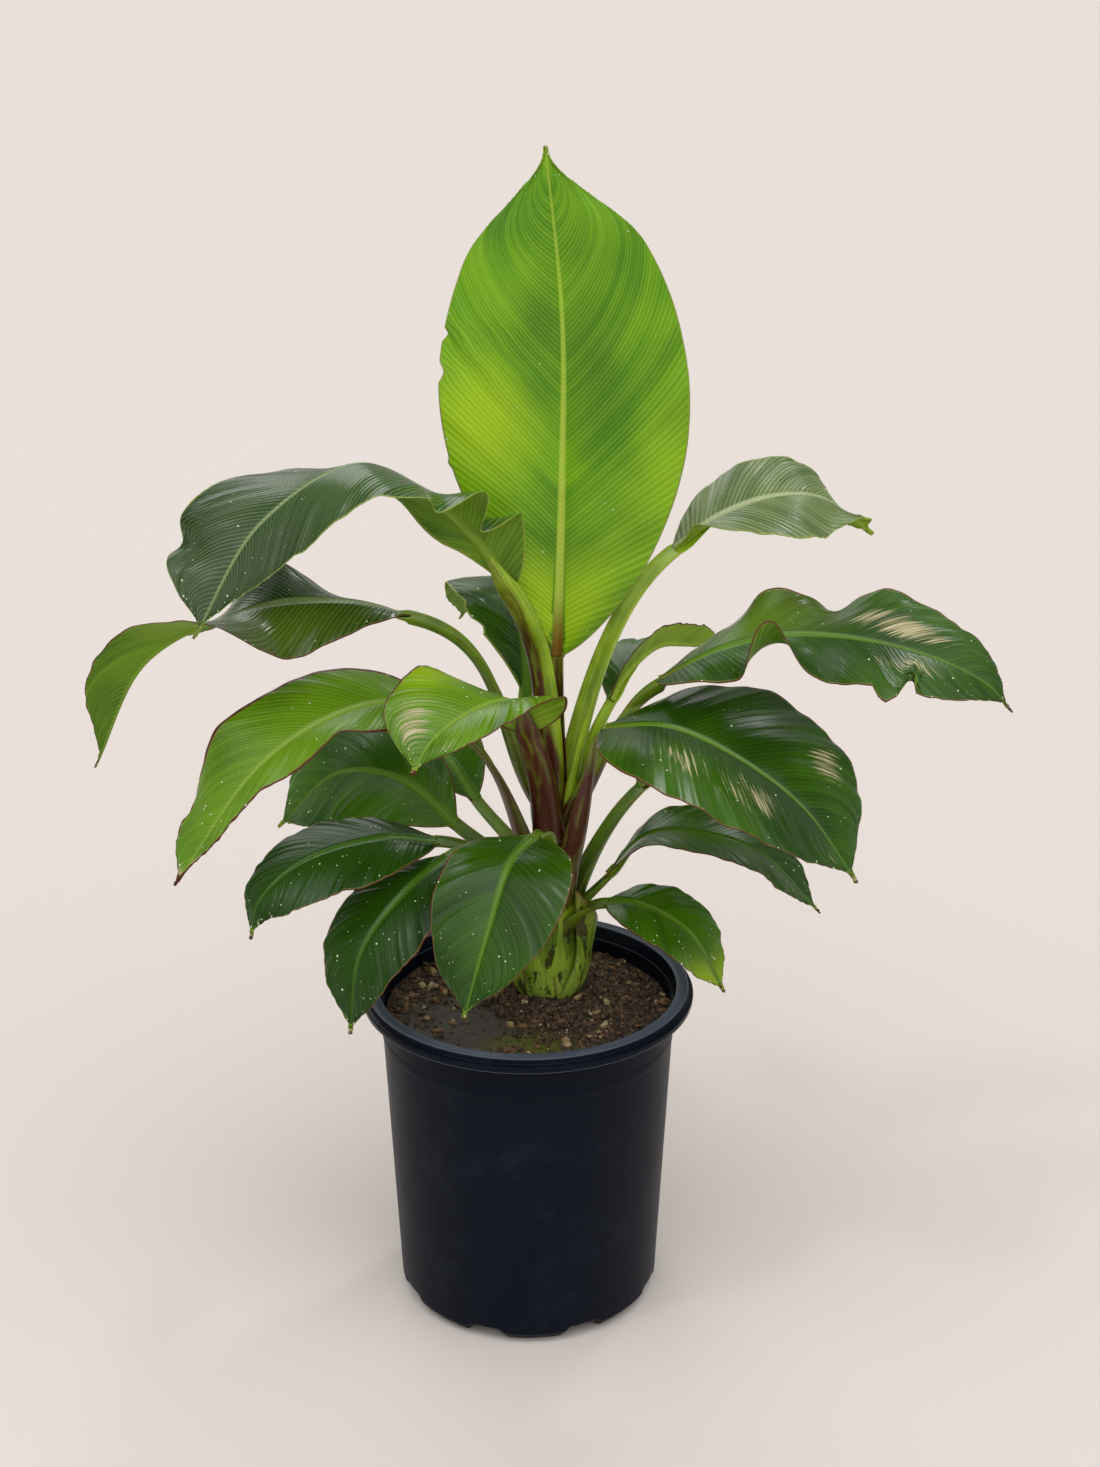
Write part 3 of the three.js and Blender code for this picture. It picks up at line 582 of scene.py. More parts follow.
def soil_material():
    """Crumbly potting mix with a wet patch and some moss."""
    n = Nodes("soil_mix")
    place_ = n.place()
    wet, moss = n.marks()[:2]
    coarse = n.noise(place_, 90.0, 5.0, 0.7)
    fine = n.noise(place_, 420.0, 4.0, 0.7)
    colour = n.mix(n.ramp(coarse, 0.4, 0.66), linear(36, 27, 22), linear(104, 82, 68))
    colour = n.mix(n.ramp(fine, 0.58, 0.72), colour, linear(150, 124, 102))
    colour = n.mix(n.times(wet, 0.85), colour, linear(68, 61, 53))
    mossy = n.times(moss, n.ramp(coarse, 0.35, 0.55, 0.75, 1.0))
    colour = n.mix(mossy, colour, linear(94, 98, 20))
    rough = n.math("SUBTRACT", 0.9, n.times(wet, 0.35))
    return n.finish(colour, rough, n.bump(fine, 0.6, 0.0015, n.bump(coarse, 0.7, 0.004)))


def grit_material(name, dark, light, rough):
    n = Nodes(name)
    grains = n.noise(n.place(), 300.0, 4.0, 0.7)
    colour = n.mix(n.ramp(grains, 0.35, 0.65), linear(*dark), linear(*light))
    return n.finish(colour, rough, n.bump(grains, 0.5, 0.001))


# dark green, light green and midrib, then roughness, strength of the veins and gloss
UPPER_TINTS = {
    "bright": ((70, 130, 4), (122, 182, 10), (204, 226, 92), 0.3, 0.42, 0.34),
    "fresh": ((34, 76, 0), (72, 118, 8), (110, 148, 36), 0.22, 0.2, 0.34),
    "deep": ((26, 62, 0), (56, 100, 2), (104, 146, 34), 0.2, 0.24, 0.34),
    "lime": ((62, 108, 6), (110, 154, 20), (156, 186, 70), 0.22, 0.5, 0.34),
    # the pale tint: the leaf's own green, lightened and greyed as painted sheen
    "pale": ((64, 94, 30), (118, 140, 78), (198, 208, 158), 0.2, 0.8, 0.5),
    "silver": ((24, 58, 8), (56, 92, 28), (156, 176, 118), 0.14, 0.7, 0.46),
    "dark": ((10, 38, 0), (32, 70, 2), (76, 116, 30), 0.2, 0.24, 0.26),
}
# undersides: their own paler green, lightened further as painted light that shines through the blade
UNDER_TINTS = {
    "bright": ((92, 128, 24), (138, 174, 40), (160, 178, 80), 0.5, 0.6, 0.25),
    "fresh": ((100, 138, 20), (150, 184, 46), (164, 190, 66), 0.45, 0.6, 0.25),
    "deep": ((72, 112, 16), (118, 158, 38), (140, 170, 56), 0.5, 0.6, 0.25),
}


def leaf_materials(kind, tints):
    return {tint: leaf_material(f"leaf_{tint}_{kind}", *(linear(*c) for c in row[:3]), *row[3:])
            for tint, row in tints.items()}


LEAF = leaf_materials("upper", UPPER_TINTS)
UNDER = leaf_materials("under", UNDER_TINTS)
UNDER.update(dark=UNDER["deep"], silver=UNDER["deep"], pale=UNDER["fresh"], lime=UNDER["fresh"])
SHEATH = sheath_material("sheath_wax", (linear(40, 72, 10), linear(82, 116, 22)),
                         (linear(122, 164, 16), linear(188, 220, 54)), linear(82, 34, 10))
POT = pot_material()
SOIL = soil_material()
CRUMB = grit_material("soil_crumb", (44, 32, 26), (118, 92, 74), 0.95)
BARK = grit_material("bark_chip", (96, 66, 46), (160, 120, 86), 0.85)
GRIT = grit_material("pale_grit", (150, 118, 82), (206, 182, 144), 0.8)
PERLITE = grit_material("perlite", (196, 190, 178), (236, 232, 224), 0.9)

# ---- blades

ROW = 1.1  # mm between the rows of a blade's mesh
RIB = (0.0, 0.4, 0.75, 1.0, 1.3)  # columns over the midrib, in its half widths
ACROSS = 12  # columns from the midrib to the margin
ARCH = 9.0  # a half starts this much above its fold and ends this much below
STRAIGHT = 1e-4  # radians that even a straight half bends
RIB_AT_NECK, RIB_AT_TIP = 5.0, 0.8  # half widths of the midrib
LEAST_AT_NECK, LEAST_AT_TIP = 5.6, 0.7  # the narrowest that half a blade may be
THICK = 0.55  # of a blade
GROOVE, LIP, KEEL = 0.34, 0.1, 0.85  # relief of the midrib, in its half widths
DRIP = (0.93, 0.975)  # the drip tip narrows over this stretch
MOST_SLANT = 0.3  # the longest that a side vein runs on, as a share of the blade
BROAD_WAVES, BROAD_RIPPLE = (4, 6, 9), 3.2  # along a blade, and high on a half 60 mm wide
FINE_WAVES, FINE_RIPPLE = (13, 17, 23), 0.9
CALM = 0.06  # the share at each end of a blade where the ripples fade out
LEAF_GRAIN = 31.7  # from the grain of one leaf to the next
WET = []  # points and normals where water drops may sit
OPEN = (slice(12, -12, 3), slice(6, -1))  # their rows and columns on half a blade


def half_width(side, leaf, sign, t):
    """Width of half a blade at t, with its drip tip and its nicks."""
    widening = t < side.peak
    s = np.where(widening, 0.5 * t / side.peak, 0.5 + 0.5 * (t - side.peak) / (1 - side.peak))
    swell = np.clip(np.sin(math.pi * np.clip(s, 0, 1)), 0, 1)
    tip = side.tip + 0.6 * smooth(t, 0.8, 1)
    width = side.width * np.where(widening, swell**side.base, swell**tip)
    width = width * (1 - leaf.drip * smooth(t, *DRIP))
    for on, at, depth, reach in leaf.notch:
        if on == sign:
            width = width - depth * np.clip(1 - np.abs(t - at) / reach, 0, 1)**0.7
    return np.maximum(width, between(LEAST_AT_NECK, LEAST_AT_TIP, np.minimum(t * 1.6, 1)))


def patches(table, sign, t, g):
    """The strength, -1 to 1, of the patches of one half blade."""
    strength = 0 * g
    for on, at, across, long, wide, most in table:
        if on == sign:
            strength = strength + most * np.exp(-((t - at) / long)**2 - ((g - across) / wide)**2)
    return np.clip(strength, -1, 1)


def columns(width, core, rim):
    """Shares of the width where points lie: over the midrib, to the margin and on its rim."""
    over = core * np.array(RIB)[None, :]
    over = over / np.maximum(width, over[:, -1:] + 1)
    start = over[:, -1:]
    hem = np.clip(rim / width, 0, 0.2)
    inner = start + (1 - 1.5 * hem - start) * np.linspace(0, 1, ACROSS)[None, 1:]
    return np.concatenate([over, inner, 1 - hem, np.ones_like(hem)], 1)


def arched(side, t, g, width):
    """How far out and how high half a blade lies, by its fold, its arch and its curls."""
    turn = np.radians(ease(side.fold, t) + ARCH)
    bend = -2 * ARCH + 0 * t
    for angle, at, spread in side.curls:
        bend = bend + angle * np.exp(-((t - at) / spread)**2)
    bend = np.radians(bend) + STRAIGHT
    across = width * (np.sin(turn + bend * g) - np.sin(turn)) / bend
    rise = width * (np.cos(turn) - np.cos(turn + bend * g)) / bend
    return across, rise


def ripples(seed, leaf, length, t, g, width):
    """Height of the margin's ripples and of the pleats between the side veins."""
    ripple = waves(seed, t, BROAD_WAVES) * BROAD_RIPPLE * (width / 60) * g**2.2
    ripple = ripple + waves(seed + 5, t, FINE_WAVES) * FINE_RIPPLE * g**1.5
    pleats = leaf.relief * np.sin(2 * math.pi * length / PLEAT * t) * smooth(g, 0.03, 0.2)
    return (ripple + pleats) * (smooth(t, 0, CALM) * smooth(1 - t, 0, CALM))


def normals(surface, upper, sign, g):
    """The way half a blade faces, which is the midrib's own way beside it."""
    run, cross = np.gradient(surface, axis=0), np.gradient(surface, axis=1)
    normal = unit(np.cross(run, cross) * sign + 1e-9 * upper)
    own = smooth(g, 0.0, 0.1)[..., None]
    return unit(normal * own + upper * (1 - own))


def midrib(x, core):
    """The midrib's groove between two lips above, and its keel below."""
    hollow = np.where(x < core, 1 - (x / core)**2, 0)
    lip = LIP * core * np.exp(-((x - core * 1.25) / (0.35 * core))**2)
    return -GROOVE * core * hollow + lip, KEEL * core * hollow


def blade_marks(leaf, sign, t, g, x, core):
    """Marks of half a blade: dry, margin, midrib, and glow, which is painted light and painted shade on
    the blade and the midrib's red at the blade's base.
    """
    tip = np.exp(-((1 - t) / leaf.char)**2) * leaf.brown
    dry = np.maximum(tip, patches(leaf.dry, sign, t, g))
    margin = np.zeros_like(g)
    margin[:, -2:] = leaf.hem
    rib = smooth(-x, -1.15 * core, -0.75 * core) * (0.85 - 0.45 * t)
    rib = rib * (1 - np.clip(1.6 * dry - 0.5, 0, 1))
    blush = -leaf.red[-1] * (1 - smooth(t, 0.0, 0.18))
    glow = np.where(x < 1.2 * core, blush, patches(leaf.glow, sign, t, g))
    return np.stack([dry, margin, rib, glow], -1)


def half_blade(number, leaf, path, sign, side):
    """The upper and lower points of half a blade, with their marks and their grain."""
    t0 = np.linspace(0, 1, int(path.length / ROW))[:, None]
    core = between(RIB_AT_NECK, RIB_AT_TIP, t0**0.8)
    g = columns(half_width(side, leaf, sign, t0), core, leaf.rim)
    slant = min(leaf.slant * side.width / path.length, MOST_SLANT)
    t = np.clip(t0 + slant * g**1.15 * np.sin(math.pi * t0)**0.9, 0, 1)
    width = half_width(side, leaf, sign, t)
    x = g * width

    sides, uppers = attitude(path.along, ease(leaf.heading, path.t), ease(leaf.roll, path.t))
    out, up = unit(path.at(t, sides)), unit(path.at(t, uppers))
    across, rise = arched(side, t, g, width)
    rise = rise + ripples(10 * number + sign, leaf, path.length, t0, g, width)
    surface = path.at(t) + out * (sign * across)[..., None] + up * rise[..., None]
    normal = normals(surface, up, sign, g)
    WET.append((surface[OPEN], normal[OPEN]))

    crest, keel = midrib(x, core)
    top = surface + normal * crest[..., None]
    low = surface - normal * (THICK + keel)[..., None]
    grain = np.stack([t0 * path.length / CM + LEAF_GRAIN * number + 0 * g, sign * x / CM], -1)
    return top, low, blade_marks(leaf, sign, t, g, x, core), grain


def blade(number, leaf):
    """A leaf's blade, from its left margin over the midrib to its right margin."""
    path = Path(catmull([leaf.neck, *leaf.rib]))
    left = half_blade(number, leaf, path, 1, leaf.left)
    right = half_blade(number, leaf, path, -1, leaf.right or leaf.left)
    whole = [np.concatenate([a[:, ::-1], b[:, 1:]], 1) for a, b in zip(left, right)]
    piece = folded("leaf_" + leaf.name, *whole, LEAF[leaf.tint], UNDER[leaf.tint])
    nodes = (f"blade_{leaf.name}", f"blade_{leaf.name}_outer")
    place(piece, leaf.slot, *(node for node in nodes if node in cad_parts))


# ---- sheaths and petioles

ARC = 17  # points from a sheath's one edge to the other
SHEATH_ROW = 3.5  # mm between the rows of a sheath's mesh
GROUND = 256.0  # the sheaths start a little under the soil
JOIN = 80  # a sheath turns into its petiole over this height below the foot
TUCK, TUCK_ROWS, TUCK_DROP = 42, 10, 2.2  # the petiole's end under the blade
WIDE_FOOT, WIDE_NECK = 12, 7  # half widths of a petiole
DEEP_FOOT, DEEP_NECK, DEEP_TUCK = 9, 5.5, 4.6  # half depths
WRAP_FOOT, WRAP_NECK, WRAP_END = 120, 86, 56  # how far the channel closes on each side
WALL_SOIL, WALL_FOOT, WALL_NECK, WALL_END = 2.0, 3.6, 4.0, 1.4  # of a sheath and petiole
THINNER = 0.72  # the wall loses this share towards its edges
LEAST_RADIUS = 9  # of a sheath on the stem
STEM_SAP = 0.95  # how bright green the sheaths are
STALK_GRAIN = 17.3  # from the grain of one petiole to the next
GIRTH = 3.0  # the stem's radius in centimetres


def petiole_curve(leaf, blade_along):
    """The petiole's curve, the way it leaves the stem and how far from the centre line."""
    neck = np.array(leaf.neck, float)
    centre = stem_at(float(leaf.foot))[0]
    out = neck - centre
    out[2] = 0
    reach = np.linalg.norm(out)
    out = out / reach
    central = reach < INSET
    inset, lean = (0.0, 0.0) if central else (leaf.inset, leaf.lean)
    start = centre + out * inset
    rise = unit(np.array([0, 0, 1.0]) + out * lean)
    begin, end = (np.linalg.norm(neck - start) * share for share in leaf.pulls)
    curve = bezier([start, start + rise * begin, neck - blade_along * end, neck])
    return Path(curve), out, inset, central


def sheath(number, leaf):
    """The sheath on the stem and the petiole that grows out of it, as one channelled body."""
    rib = Path(catmull([leaf.neck, *leaf.rib]))
    petiole, out, inset, central = petiole_curve(leaf, rib.along[0])

    # rows on the stem, along the petiole and on under the blade
    low = np.arange(GROUND, leaf.foot - 1, SHEATH_ROW)
    t = np.linspace(0, 1, int(petiole.length / SHEATH_ROW))
    under = np.linspace(0, 1, TUCK_ROWS + 1)[1:]
    on_rib = under * TUCK / rib.length
    blend = smooth(low, leaf.foot - JOIN, leaf.foot)

    # below the foot the channel moves in to the stem's centre line
    axis, wide = stem_at(low)
    heading, roll = np.array(leaf.heading[:1], float), np.array(leaf.roll[:1], float)
    above = attitude(rib.along[:1], heading, roll)[1]
    tuck = rib.at(on_rib) - above * (TUCK_DROP * smooth(under, 0, 0.3))[:, None]
    centre = np.vstack([axis + out * (inset * blend)[:, None], petiole.at(t), tuck])
    path = Path(centre)
    azimuth = math.atan2(out[1], out[0])
    face = math.degrees(azimuth)
    face += 360 * round((leaf.heading[0] - face) / 360)
    turn = np.r_[0 * low, smooth(t, 0, 0.9), 0 * under + 1]
    roll = np.r_[0 * low, leaf.roll[0] * t, ease(leaf.roll, on_rib)]
    side, upper = attitude(path.along, between(face, leaf.heading[0], turn), roll)

    # half width, half depth, wrap and wall from the soil to the blade
    size, deep = leaf.stalk, leaf.depth
    radius = np.hypot(wide[:, 0] * math.cos(azimuth), wide[:, 1] * math.sin(azimuth))
    radius = np.maximum(radius - (len(LEAVES) - 1 - number) * LAYER, LEAST_RADIUS)
    a = np.r_[between(radius, WIDE_FOOT * size, blend),
              size * between(WIDE_FOOT, WIDE_NECK, np.sqrt(t)),
              WIDE_NECK * size * (1 - under)**0.7 + 0.8]
    b = np.r_[between(radius, DEEP_FOOT, blend),
              between(DEEP_FOOT, DEEP_NECK * deep, t),
              DEEP_TUCK * deep * (1 - under)**(2 * deep - 1) + 0.9]
    wrap = [np.radians(np.r_[between(seam, WRAP_FOOT, blend**2),
                             between(WRAP_FOOT, WRAP_NECK, smooth(t, 0, 0.7)),
                             between(WRAP_NECK, WRAP_END, under**0.5)]) for seam in leaf.seams]
    wall = np.r_[between(WALL_SOIL, WALL_FOOT, blend), between(WALL_FOOT, WALL_NECK, t),
                 between(WALL_NECK, WALL_END, under)]
    if central:
        wrap = [np.full(len(a), math.radians(WRAP_FOOT))] * 2
    share = np.linspace(0, 1, ARC)[None, :]
    phi = wrap[0][:, None] * (1 - share) - wrap[1][:, None] * share
    across = np.linspace(1, -1, ARC)[None, :]
    thin = 1 - THINNER * across**2

    def arc(shrink):
        """The channel's points, this far inside its outer face."""
        return (centre[:, None] + side[:, None] * ((a[:, None] - shrink) * np.sin(phi))[..., None]
                - upper[:, None] * ((b[:, None] - shrink) * np.cos(phi))[..., None])

    # marks: flush, edge, blotch, and the green, which is partly painted shade on the rear and low petioles
    height = centre[:, 2]
    stalk = np.r_[0 * low - 1, t, 0 * under + 1]
    red = np.where(stalk < 0, leaf.red[0] * smooth(height, 300, 400), ease(leaf.red, stalk))
    middle, spread = leaf.blush
    away = np.abs(across - middle) - spread - 0.9 * (1 - smooth(stalk, 0.05, 0.45))[:, None]
    flush = red[:, None] * (1 - 0.85 * smooth(away, -0.15, 0.2))
    brown = np.r_[between(0.75, 0.25, blend), 0.25 + 0 * t, 0 * under][:, None]
    edge = (np.abs(across) > 0.99) * brown
    blotch = smooth(-height, -430, -300)[:, None]
    green_and_painted_shade = between(STEM_SAP, leaf.green_and_painted_shade, np.r_[blend, 0 * t + 1, 0 * under + 1][:, None])
    mark = np.stack(np.broadcast_arrays(flush, edge, blotch, green_and_painted_shade), -1)
    along = path.t * path.length / CM
    grain = np.stack([np.repeat(along[:, None], ARC, 1) + STALK_GRAIN * number,
                      a[:, None] * phi / CM], -1)
    inner = arc(np.minimum(wall[:, None] * thin, 0.8 * b[:, None]))
    piece = folded("stalk_" + leaf.name, inner, arc(0 * phi), mark, grain, SHEATH)
    place(piece, "petiole", "petiole_" + leaf.name)


def husk(name, start, stop, tops, lift, lean):
    """An old broken sheath from the azimuths of start, low and high, to stop. tops are the
    heights of its ragged top, and it stands off the stem by lift, and by lean more there."""
    thick = 1.4
    u, v = np.meshgrid(np.linspace(0, 1, 40), np.linspace(0, 1, 26), indexing="ij")
    top = ease(tops, u) + 1.6 * waves(stop, u, (5, 8, 13))
    z = between(GROUND, top, v)
    first = np.radians(between(*start, smooth(v, 0, 0.5)))
    angle = first * (1 - u) + math.radians(stop) * u
    axis, wide = stem_at(z)
    flare = lift + 0.5 * waves(3 + stop, u + 0.3 * v, (2, 3))
    flare = flare + lean * v**1.6 * np.sin(math.pi * u**0.7)
    way = np.stack([np.cos(angle), np.sin(angle), 0 * angle], -1)

    def shell(out):
        return axis + way * (wide + (flare + out)[..., None])[..., [0, 1, 1]] * (1, 1, 0)

    edge = np.maximum(smooth(v, 0.93, 0.99), 0.5 * smooth(-u, -0.03, 0))
    mark = np.stack([0.25 * smooth(v, 0.6, 1), edge, 0 * u + 1, 0 * u + 0.75], -1)
    grain = np.stack([z / CM + 5 * lift, angle * GIRTH], -1)
    place(folded(name, shell(0.0), shell(-thick), mark, grain, SHEATH), "petiole")


def stem_core():
    """The heart of the stem inside the sheaths."""
    rows, points, top, inside = 40, 36, 444, 5.0
    z = np.linspace(GROUND, top, rows)
    axis, wide = stem_at(z)
    wide = wide - inside
    a = np.linspace(0, 2 * math.pi, points, endpoint=False)[None, :]
    out = np.broadcast_arrays(wide[:, :1] * np.cos(a), wide[:, 1:] * np.sin(a), 0.0)
    ring = axis[:, None] + np.stack(out, -1)
    marks = np.zeros((rows, points, 4))
    marks[..., 0] = smooth(z, 330, 420)[:, None]
    marks[..., 3] = 0.8
    grain = np.stack(np.broadcast_arrays(z[:, None] / CM, a * GIRTH), -1)
    piece = mesh_object("stem_heart", ring.reshape(-1, 3), loft_faces(rows, points).tolist(),
                        [SHEATH], marks=marks.reshape(-1, 4), uv=grain.reshape(-1, 2))
    place(piece, "pseudostem", "pseudostem")


# ---- pot and soil

FOOT, WALL_TOP = 111.0, 124.5  # the pot's radius at the ground and under the rim
FLANGE, BRIM = 272.5, 284  # heights of the rim's underside and its top
POT_WALL = 3
CORNER = 1.3  # radius of the pot's rounded corners
DRAINS, FIRST_DRAIN, DRAIN_HIGH = 8, 25, 6.5  # mouths, degrees of one from the front, height
DRAIN_ENDS = (-18.5, -11.5)  # where a mouth's end slopes down, from its middle
DRAIN_FADE = 26  # height where the lift over a mouth ends
BED = 256  # height of the soil bed's side, under its rough top
SOIL_LEVEL, SOIL_FALL = 264.5, 2.0  # the mound's top, and how much lower its rim is
LUMPS, PUDDLED, SINK = 1.9, 1.6, 1.2  # lumps' height, what the puddle takes, their sinking
STEM_FOOT = STEM[0, :2]


def wall_radius(z):
    return FOOT + (WALL_TOP - FOOT) * z / FLANGE


def rounded(points, radius, steps=4):
    """The profile with its inner corners rounded off."""
    out = [points[0]]
    for a, b, c in zip(points, points[1:], points[2:]):
        a, b, c = np.array(a, float), np.array(b, float), np.array(c, float)
        r = min(radius, np.linalg.norm(a - b) / 2.2, np.linalg.norm(c - b) / 2.2)
        p, q = b + unit(a - b) * r, b + unit(c - b) * r
        for s in np.linspace(0, 1, steps):
            out.append(tuple((1 - s)**2 * p + 2 * (1 - s) * s * b + s**2 * q))
    return out + [points[-1]]


def drain_mouths(v):
    """Lift the foot of the pot's wall over its drain mouths."""
    step = 360 / DRAINS
    r = np.hypot(v[:, 0], v[:, 1])
    turn = np.degrees(np.arctan2(v[:, 1], v[:, 0])) + 90 - FIRST_DRAIN
    off = np.radians((turn + step / 2) % step - step / 2) * r
    lift = DRAIN_HIGH * smooth(-np.abs(off), *DRAIN_ENDS) * smooth(r, 92, 96)
    v[:, 2] += lift * np.clip(1 - v[:, 2] / DRAIN_FADE, 0, 1)
    return v


def pot():
    def wall(z, out=0.0):
        return wall_radius(z) + out, z

    underside = [(0, 0), (92, 0), (96, 0), (103, 0)]
    outside = [wall(9), wall(26), wall(238), wall(239, 0.4), wall(245, 0.4), wall(246), wall(FLANGE)]
    rim = [(139.6, FLANGE), (140, 278.4), (136.4, 278.6), (135.4, 279.6), (135.8, BRIM), (125.6, BRIM)]
    inside = [(wall_radius(FLANGE) - POT_WALL, 270), wall(26, -POT_WALL), wall(8, -POT_WALL)]
    floor = [(100, POT_WALL), (96, POT_WALL), (92, POT_WALL), (0, POT_WALL)]
    profile = rounded([*underside, *outside, *rim, *inside, *floor], CORNER)
    place(lathe("nursery_pot", profile, 288, POT, drain_mouths, sharp=35), "pot", "pot")


def spot(x, y, middle, radius, long=1.0):
    """1 on a round or long spot of the soil and 0 beyond it, with a soft edge."""
    return np.exp(-(np.hypot((x - middle[0]) / long, y - middle[1]) / radius)**4)


def wetness(x, y):
    """The smooth puddled patch at the front left."""
    return spot(x, y, (-58, -46), 56, 1.15)


def soil_height(x, y):
    """A low lumpy mound, higher round the stem and smooth on the wet patch."""
    level = SOIL_LEVEL - SOIL_FALL * smooth(np.hypot(x, y), 60, 122)
    near = 1.5 * spot(x, y, STEM_FOOT, 46)
    places = [Vector((u * 0.045, v * 0.045, 3.1)) for u, v in zip(x.ravel(), y.ravel())]
    rough = np.array([noise.fractal(at, 1.0, 2.1, 4) for at in places])
    return level + near + (LUMPS - PUDDLED * wetness(x, y)) * rough.reshape(x.shape) - SINK


def soil():
    inside = wall_radius(258) - 3.4
    side = [(0, 7), (94, 7), (wall_radius(14) - 4.2, 14), (inside, BED)]
    top = [(r, BED + 1) for r in np.linspace(inside - 0.4, 2, 62)] + [(0, BED + 1)]

    def shape(v):
        up = v[:, 2] > BED + 0.5
        v[up, 2] = soil_height(v[up, 0], v[up, 1])
        return v

    def marks(v):
        """The marks wet and moss; the other two stay unused."""
        wet = wetness(v[:, 0], v[:, 1])
        moss = spot(v[:, 0], v[:, 1], (6, -74), 24, 1.7)
        return np.stack([wet, moss, 0 * wet, 1 + 0 * wet], -1)

    place(lathe("soil_bed", side + top, 180, SOIL, shape, marks), "soil", "soil")


# ---- small lumps

CORNERS = 12  # of an icosahedron
LUMPY = 0.28  # how uneven a lump of soil is


def icosahedron():
    """Corners on a ball of radius 1, and the triangles between them."""
    golden, longest = (1 + 5**0.5) / 2, 1.1
    flat = [(0, a, b * golden) for a in (-1, 1) for b in (-1, 1)]
    corners = [(x[k], x[(k + 1) % 3], x[(k + 2) % 3]) for k in range(3) for x in flat]
    corners = unit(np.array(corners, float))
    gap = np.linalg.norm(corners[:, None] - corners[None], axis=-1)
    tris = [(i, j, k) for i in range(CORNERS) for j in range(i + 1, CORNERS)
            for k in range(j + 1, CORNERS) if max(gap[i, j], gap[j, k], gap[i, k]) < longest]
    outward = [np.linalg.det(corners[list(t)]) > 0 for t in tris]
    return corners, [t if out else t[::-1] for t, out in zip(tris, outward)]


BALL, TRIANGLES = icosahedron()


def lumps_piece(name, lumps, material, slot):
    """One piece of many lumps, each with the corners of an icosahedron."""
    faces = [tuple(CORNERS * k + i for i in t) for k in range(len(lumps)) for t in TRIANGLES]
    place(mesh_object(name, np.vstack(lumps), faces, [material]), slot)


def scatter(name, material, count, seed, sizes, squash, spread=118.0, lift=0.25, around=(0, 0)):
    """Many small lumps that lie on the soil, off the stem and mostly off the wet patch."""
    rng = np.random.default_rng(seed)
    lumps = []
    while len(lumps) < count:
        r, a = spread * math.sqrt(rng.random()), rng.random() * 2 * math.pi
        x, y = around[0] + r * math.cos(a), around[1] + r * math.sin(a)
        on_stem = math.hypot((x - STEM_FOOT[0]) / 33, (y - STEM_FOOT[1]) / 31) < 1
        if on_stem or rng.random() < 0.9 * float(wetness(x, y)):
            continue
        size = between(*sizes, rng.random()**2.5)
        lump = BALL * (1 + LUMPY * rng.standard_normal((CORNERS, 1))) * np.array(squash) * size
        axis, turn = unit(rng.standard_normal(3) * (0.35, 0.35, 1)), rng.random() * 2 * math.pi
        c, s = math.cos(turn), math.sin(turn)
        lump = lump * c + np.cross(axis, lump) * s + np.outer(lump @ axis, axis) * (1 - c)
        z = float(soil_height(np.array([x]), np.array([y]))[0])
        lumps.append(lump + (x, y, z + lift * size * squash[2]))
    lumps_piece(name, lumps, material, "soil")


def drops(count):
    """Water drops lying on the blades, joined into one piece."""
    rng = np.random.default_rng(11)
    lumps = []
    for _ in range(count):
        points, facing = WET[rng.integers(len(WET))]
        i, j = rng.integers(points.shape[0]), rng.integers(points.shape[1])
        p, n = points[i, j], facing[i, j]
        a = unit(np.cross(n, (0.3, 0.2, 1.0)))
        size = 0.35 + 0.75 * rng.random()**3
        lumps.append(p + size * (BALL @ np.stack([a, np.cross(n, a), n * 0.6])))
    water = Nodes("water_drop")
    # the drops' whitish colour is a painted highlight for the sparkle of clear water
    painted_sparkle = water.noise(water.place(), 600.0, 2.0)
    water.finish(water.mix(painted_sparkle, linear(196, 214, 160), linear(236, 242, 224)), 0.08)
    lumps_piece("water_drops", lumps, water.material, "leaf_deep")


# ---- build

for number, leaf in enumerate(LEAVES):
    blade(number, leaf)
    sheath(number, leaf)
stem_core()
husk("old_sheath_right", (285, 318), 395, [362, 345, 328, 320, 318], lift=1.2, lean=12)
husk("old_sheath_left", (168, 172), 238, [280, 298, 303, 297, 276], lift=1.4, lean=5)
pot()
soil()
drops(900)
scatter("soil_crumbs", CRUMB, 2600, seed=3, sizes=(0.8, 3.2), squash=(1, 1, 0.8))
scatter("bark_chips", BARK, 260, seed=5, sizes=(1.5, 6.0), squash=(1.4, 0.8, 0.4))
scatter("pale_grit", GRIT, 170, seed=7, sizes=(1.0, 5.0), squash=(1, 0.9, 0.7), lift=0.5)
scatter("near_crumbs", CRUMB, 500, seed=13, sizes=(1.2, 5.0), squash=(1, 1, 0.9),
        spread=62, lift=0.5, around=(24, 14))
scatter("perlite", PERLITE, 60, seed=17, sizes=(0.5, 1.8), squash=(1, 1, 0.9),
        spread=34, lift=0.9, around=(24, -22))

# ---- studio

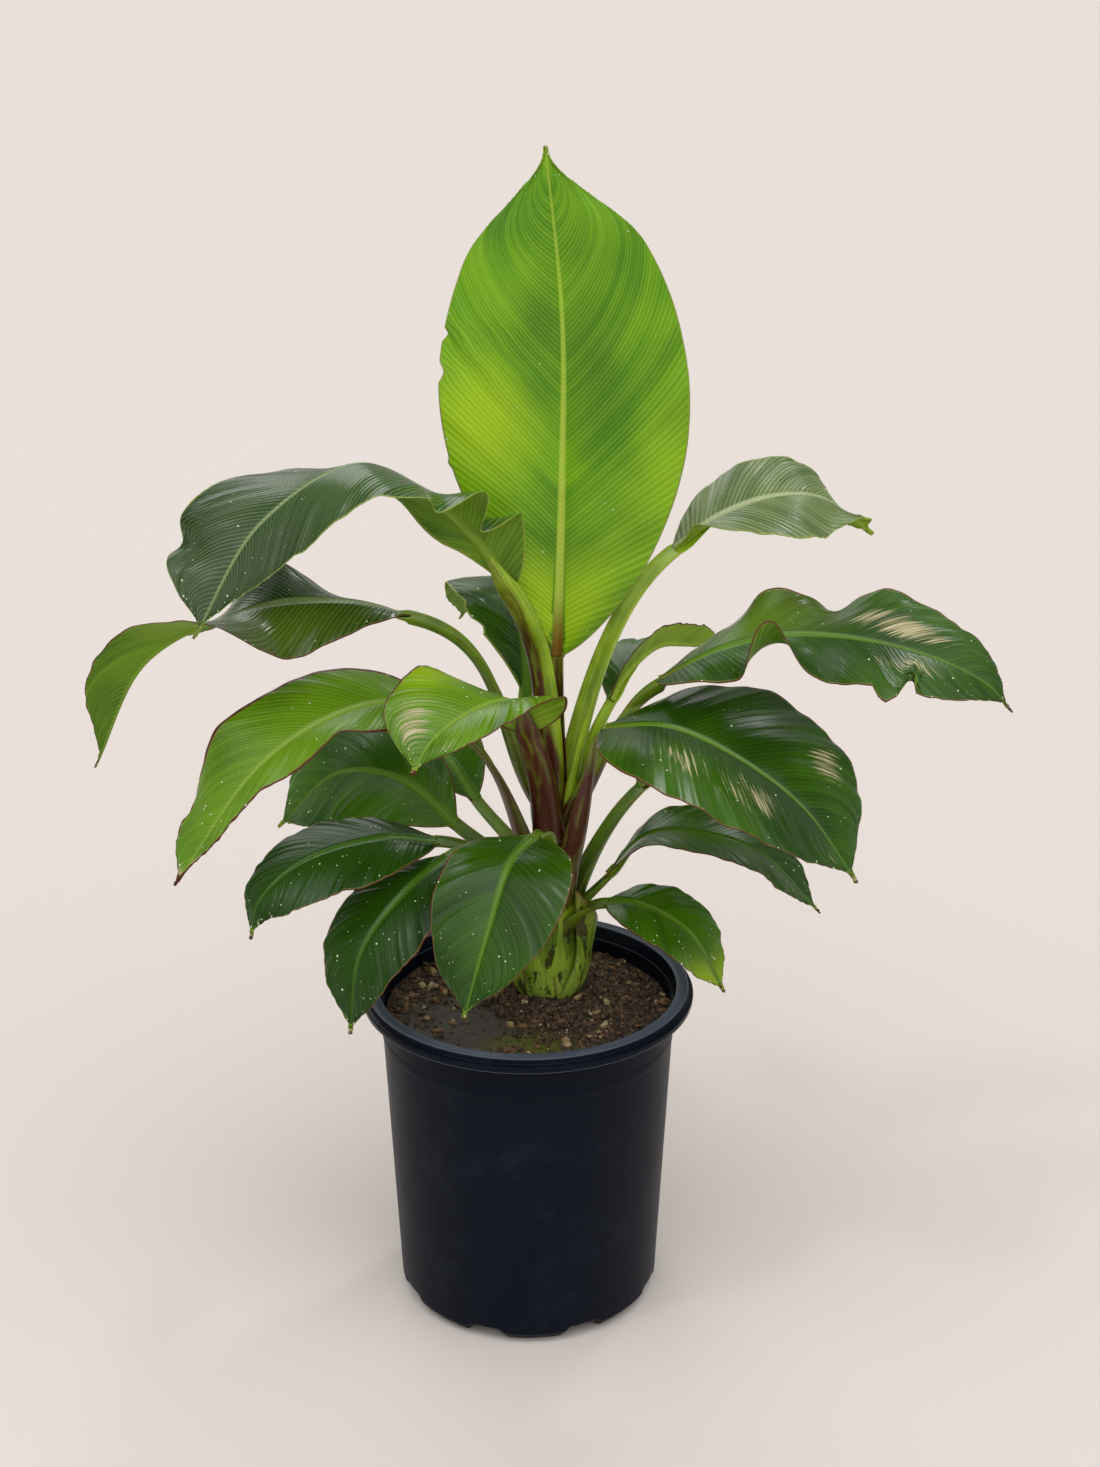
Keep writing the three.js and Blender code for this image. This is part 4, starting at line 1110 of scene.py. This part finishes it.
FLOOR_HALF = 40.0  # metres
SUNS = (  # name, strength, direction and width
    ("key", 1.12, (0.8, -1.1, 1.8), 75),
    ("fill", 0.84, (-0.8, -1.0, 1.8), 75),
    ("sheen", 0.4, (-0.3, 1.0, 0.75), 34),
    ("glint", 0.24, (0.5, 0.7, 1.1), 7),
    ("spark", 0.2, (-0.7, -0.5, 1.4), 7),
)
ROOM_LIGHT, BACKDROP = 0.36, 0.76  # the world's strength on the part and as it is seen


def floor():
    mesh = bpy.data.meshes.new("floor")
    corners = ((-1, -1), (1, -1), (1, 1), (-1, 1))
    mesh.from_pydata([(x * FLOOR_HALF, y * FLOOR_HALF, 0) for x, y in corners], [], [(0, 1, 2, 3)])
    plane = bpy.data.objects.new("floor", mesh)
    bpy.context.collection.objects.link(plane)
    pale = Nodes("floor_pale")
    mesh.materials.append(pale.finish(linear(229, 221, 215), 0.9, Specular_IOR_Level=0.1))


def room():
    """A dim light from all round, and a brighter backdrop."""
    world = bpy.data.worlds.new("studio")
    world.use_nodes = True
    tree = world.node_tree
    glow, backdrop = tree.nodes["Background"], tree.nodes.new("ShaderNodeBackground")
    for node, strength in ((glow, ROOM_LIGHT), (backdrop, BACKDROP)):
        node.inputs[0].default_value = (1.0, 0.96, 0.93, 1)
        node.inputs[1].default_value = strength
    seen, mix = tree.nodes.new("ShaderNodeLightPath"), tree.nodes.new("ShaderNodeMixShader")
    tree.links.new(seen.outputs["Is Camera Ray"], mix.inputs[0])
    tree.links.new(glow.outputs[0], mix.inputs[1])
    tree.links.new(backdrop.outputs[0], mix.inputs[2])
    tree.links.new(mix.outputs[0], tree.nodes["World Output"].inputs[0])
    bpy.context.scene.world = world


def suns():
    for name, strength, stand, width in SUNS:
        data = bpy.data.lights.new(name, "SUN")
        data.energy = strength
        data.angle = math.radians(width)
        light = bpy.data.objects.new(name, data)
        light.location = stand
        light.rotation_euler = (-Vector(stand)).to_track_quat("-Z", "Y").to_euler()
        bpy.context.collection.objects.link(light)


def camera():
    """The photo's view, from the front and a little above."""
    data = bpy.data.cameras.new("camera")
    data.lens, data.sensor_width = 55.36, 36.0
    view = bpy.data.objects.new("camera", data)
    view.location = (0, -1.714, 1.147)
    view.rotation_euler = (math.radians(90 - 20.45), 0, math.radians(-0.63))
    bpy.context.collection.objects.link(view)
    bpy.context.scene.camera = view
    bpy.context.scene.view_settings.view_transform = "Standard"


floor()
room()
suns()
camera()
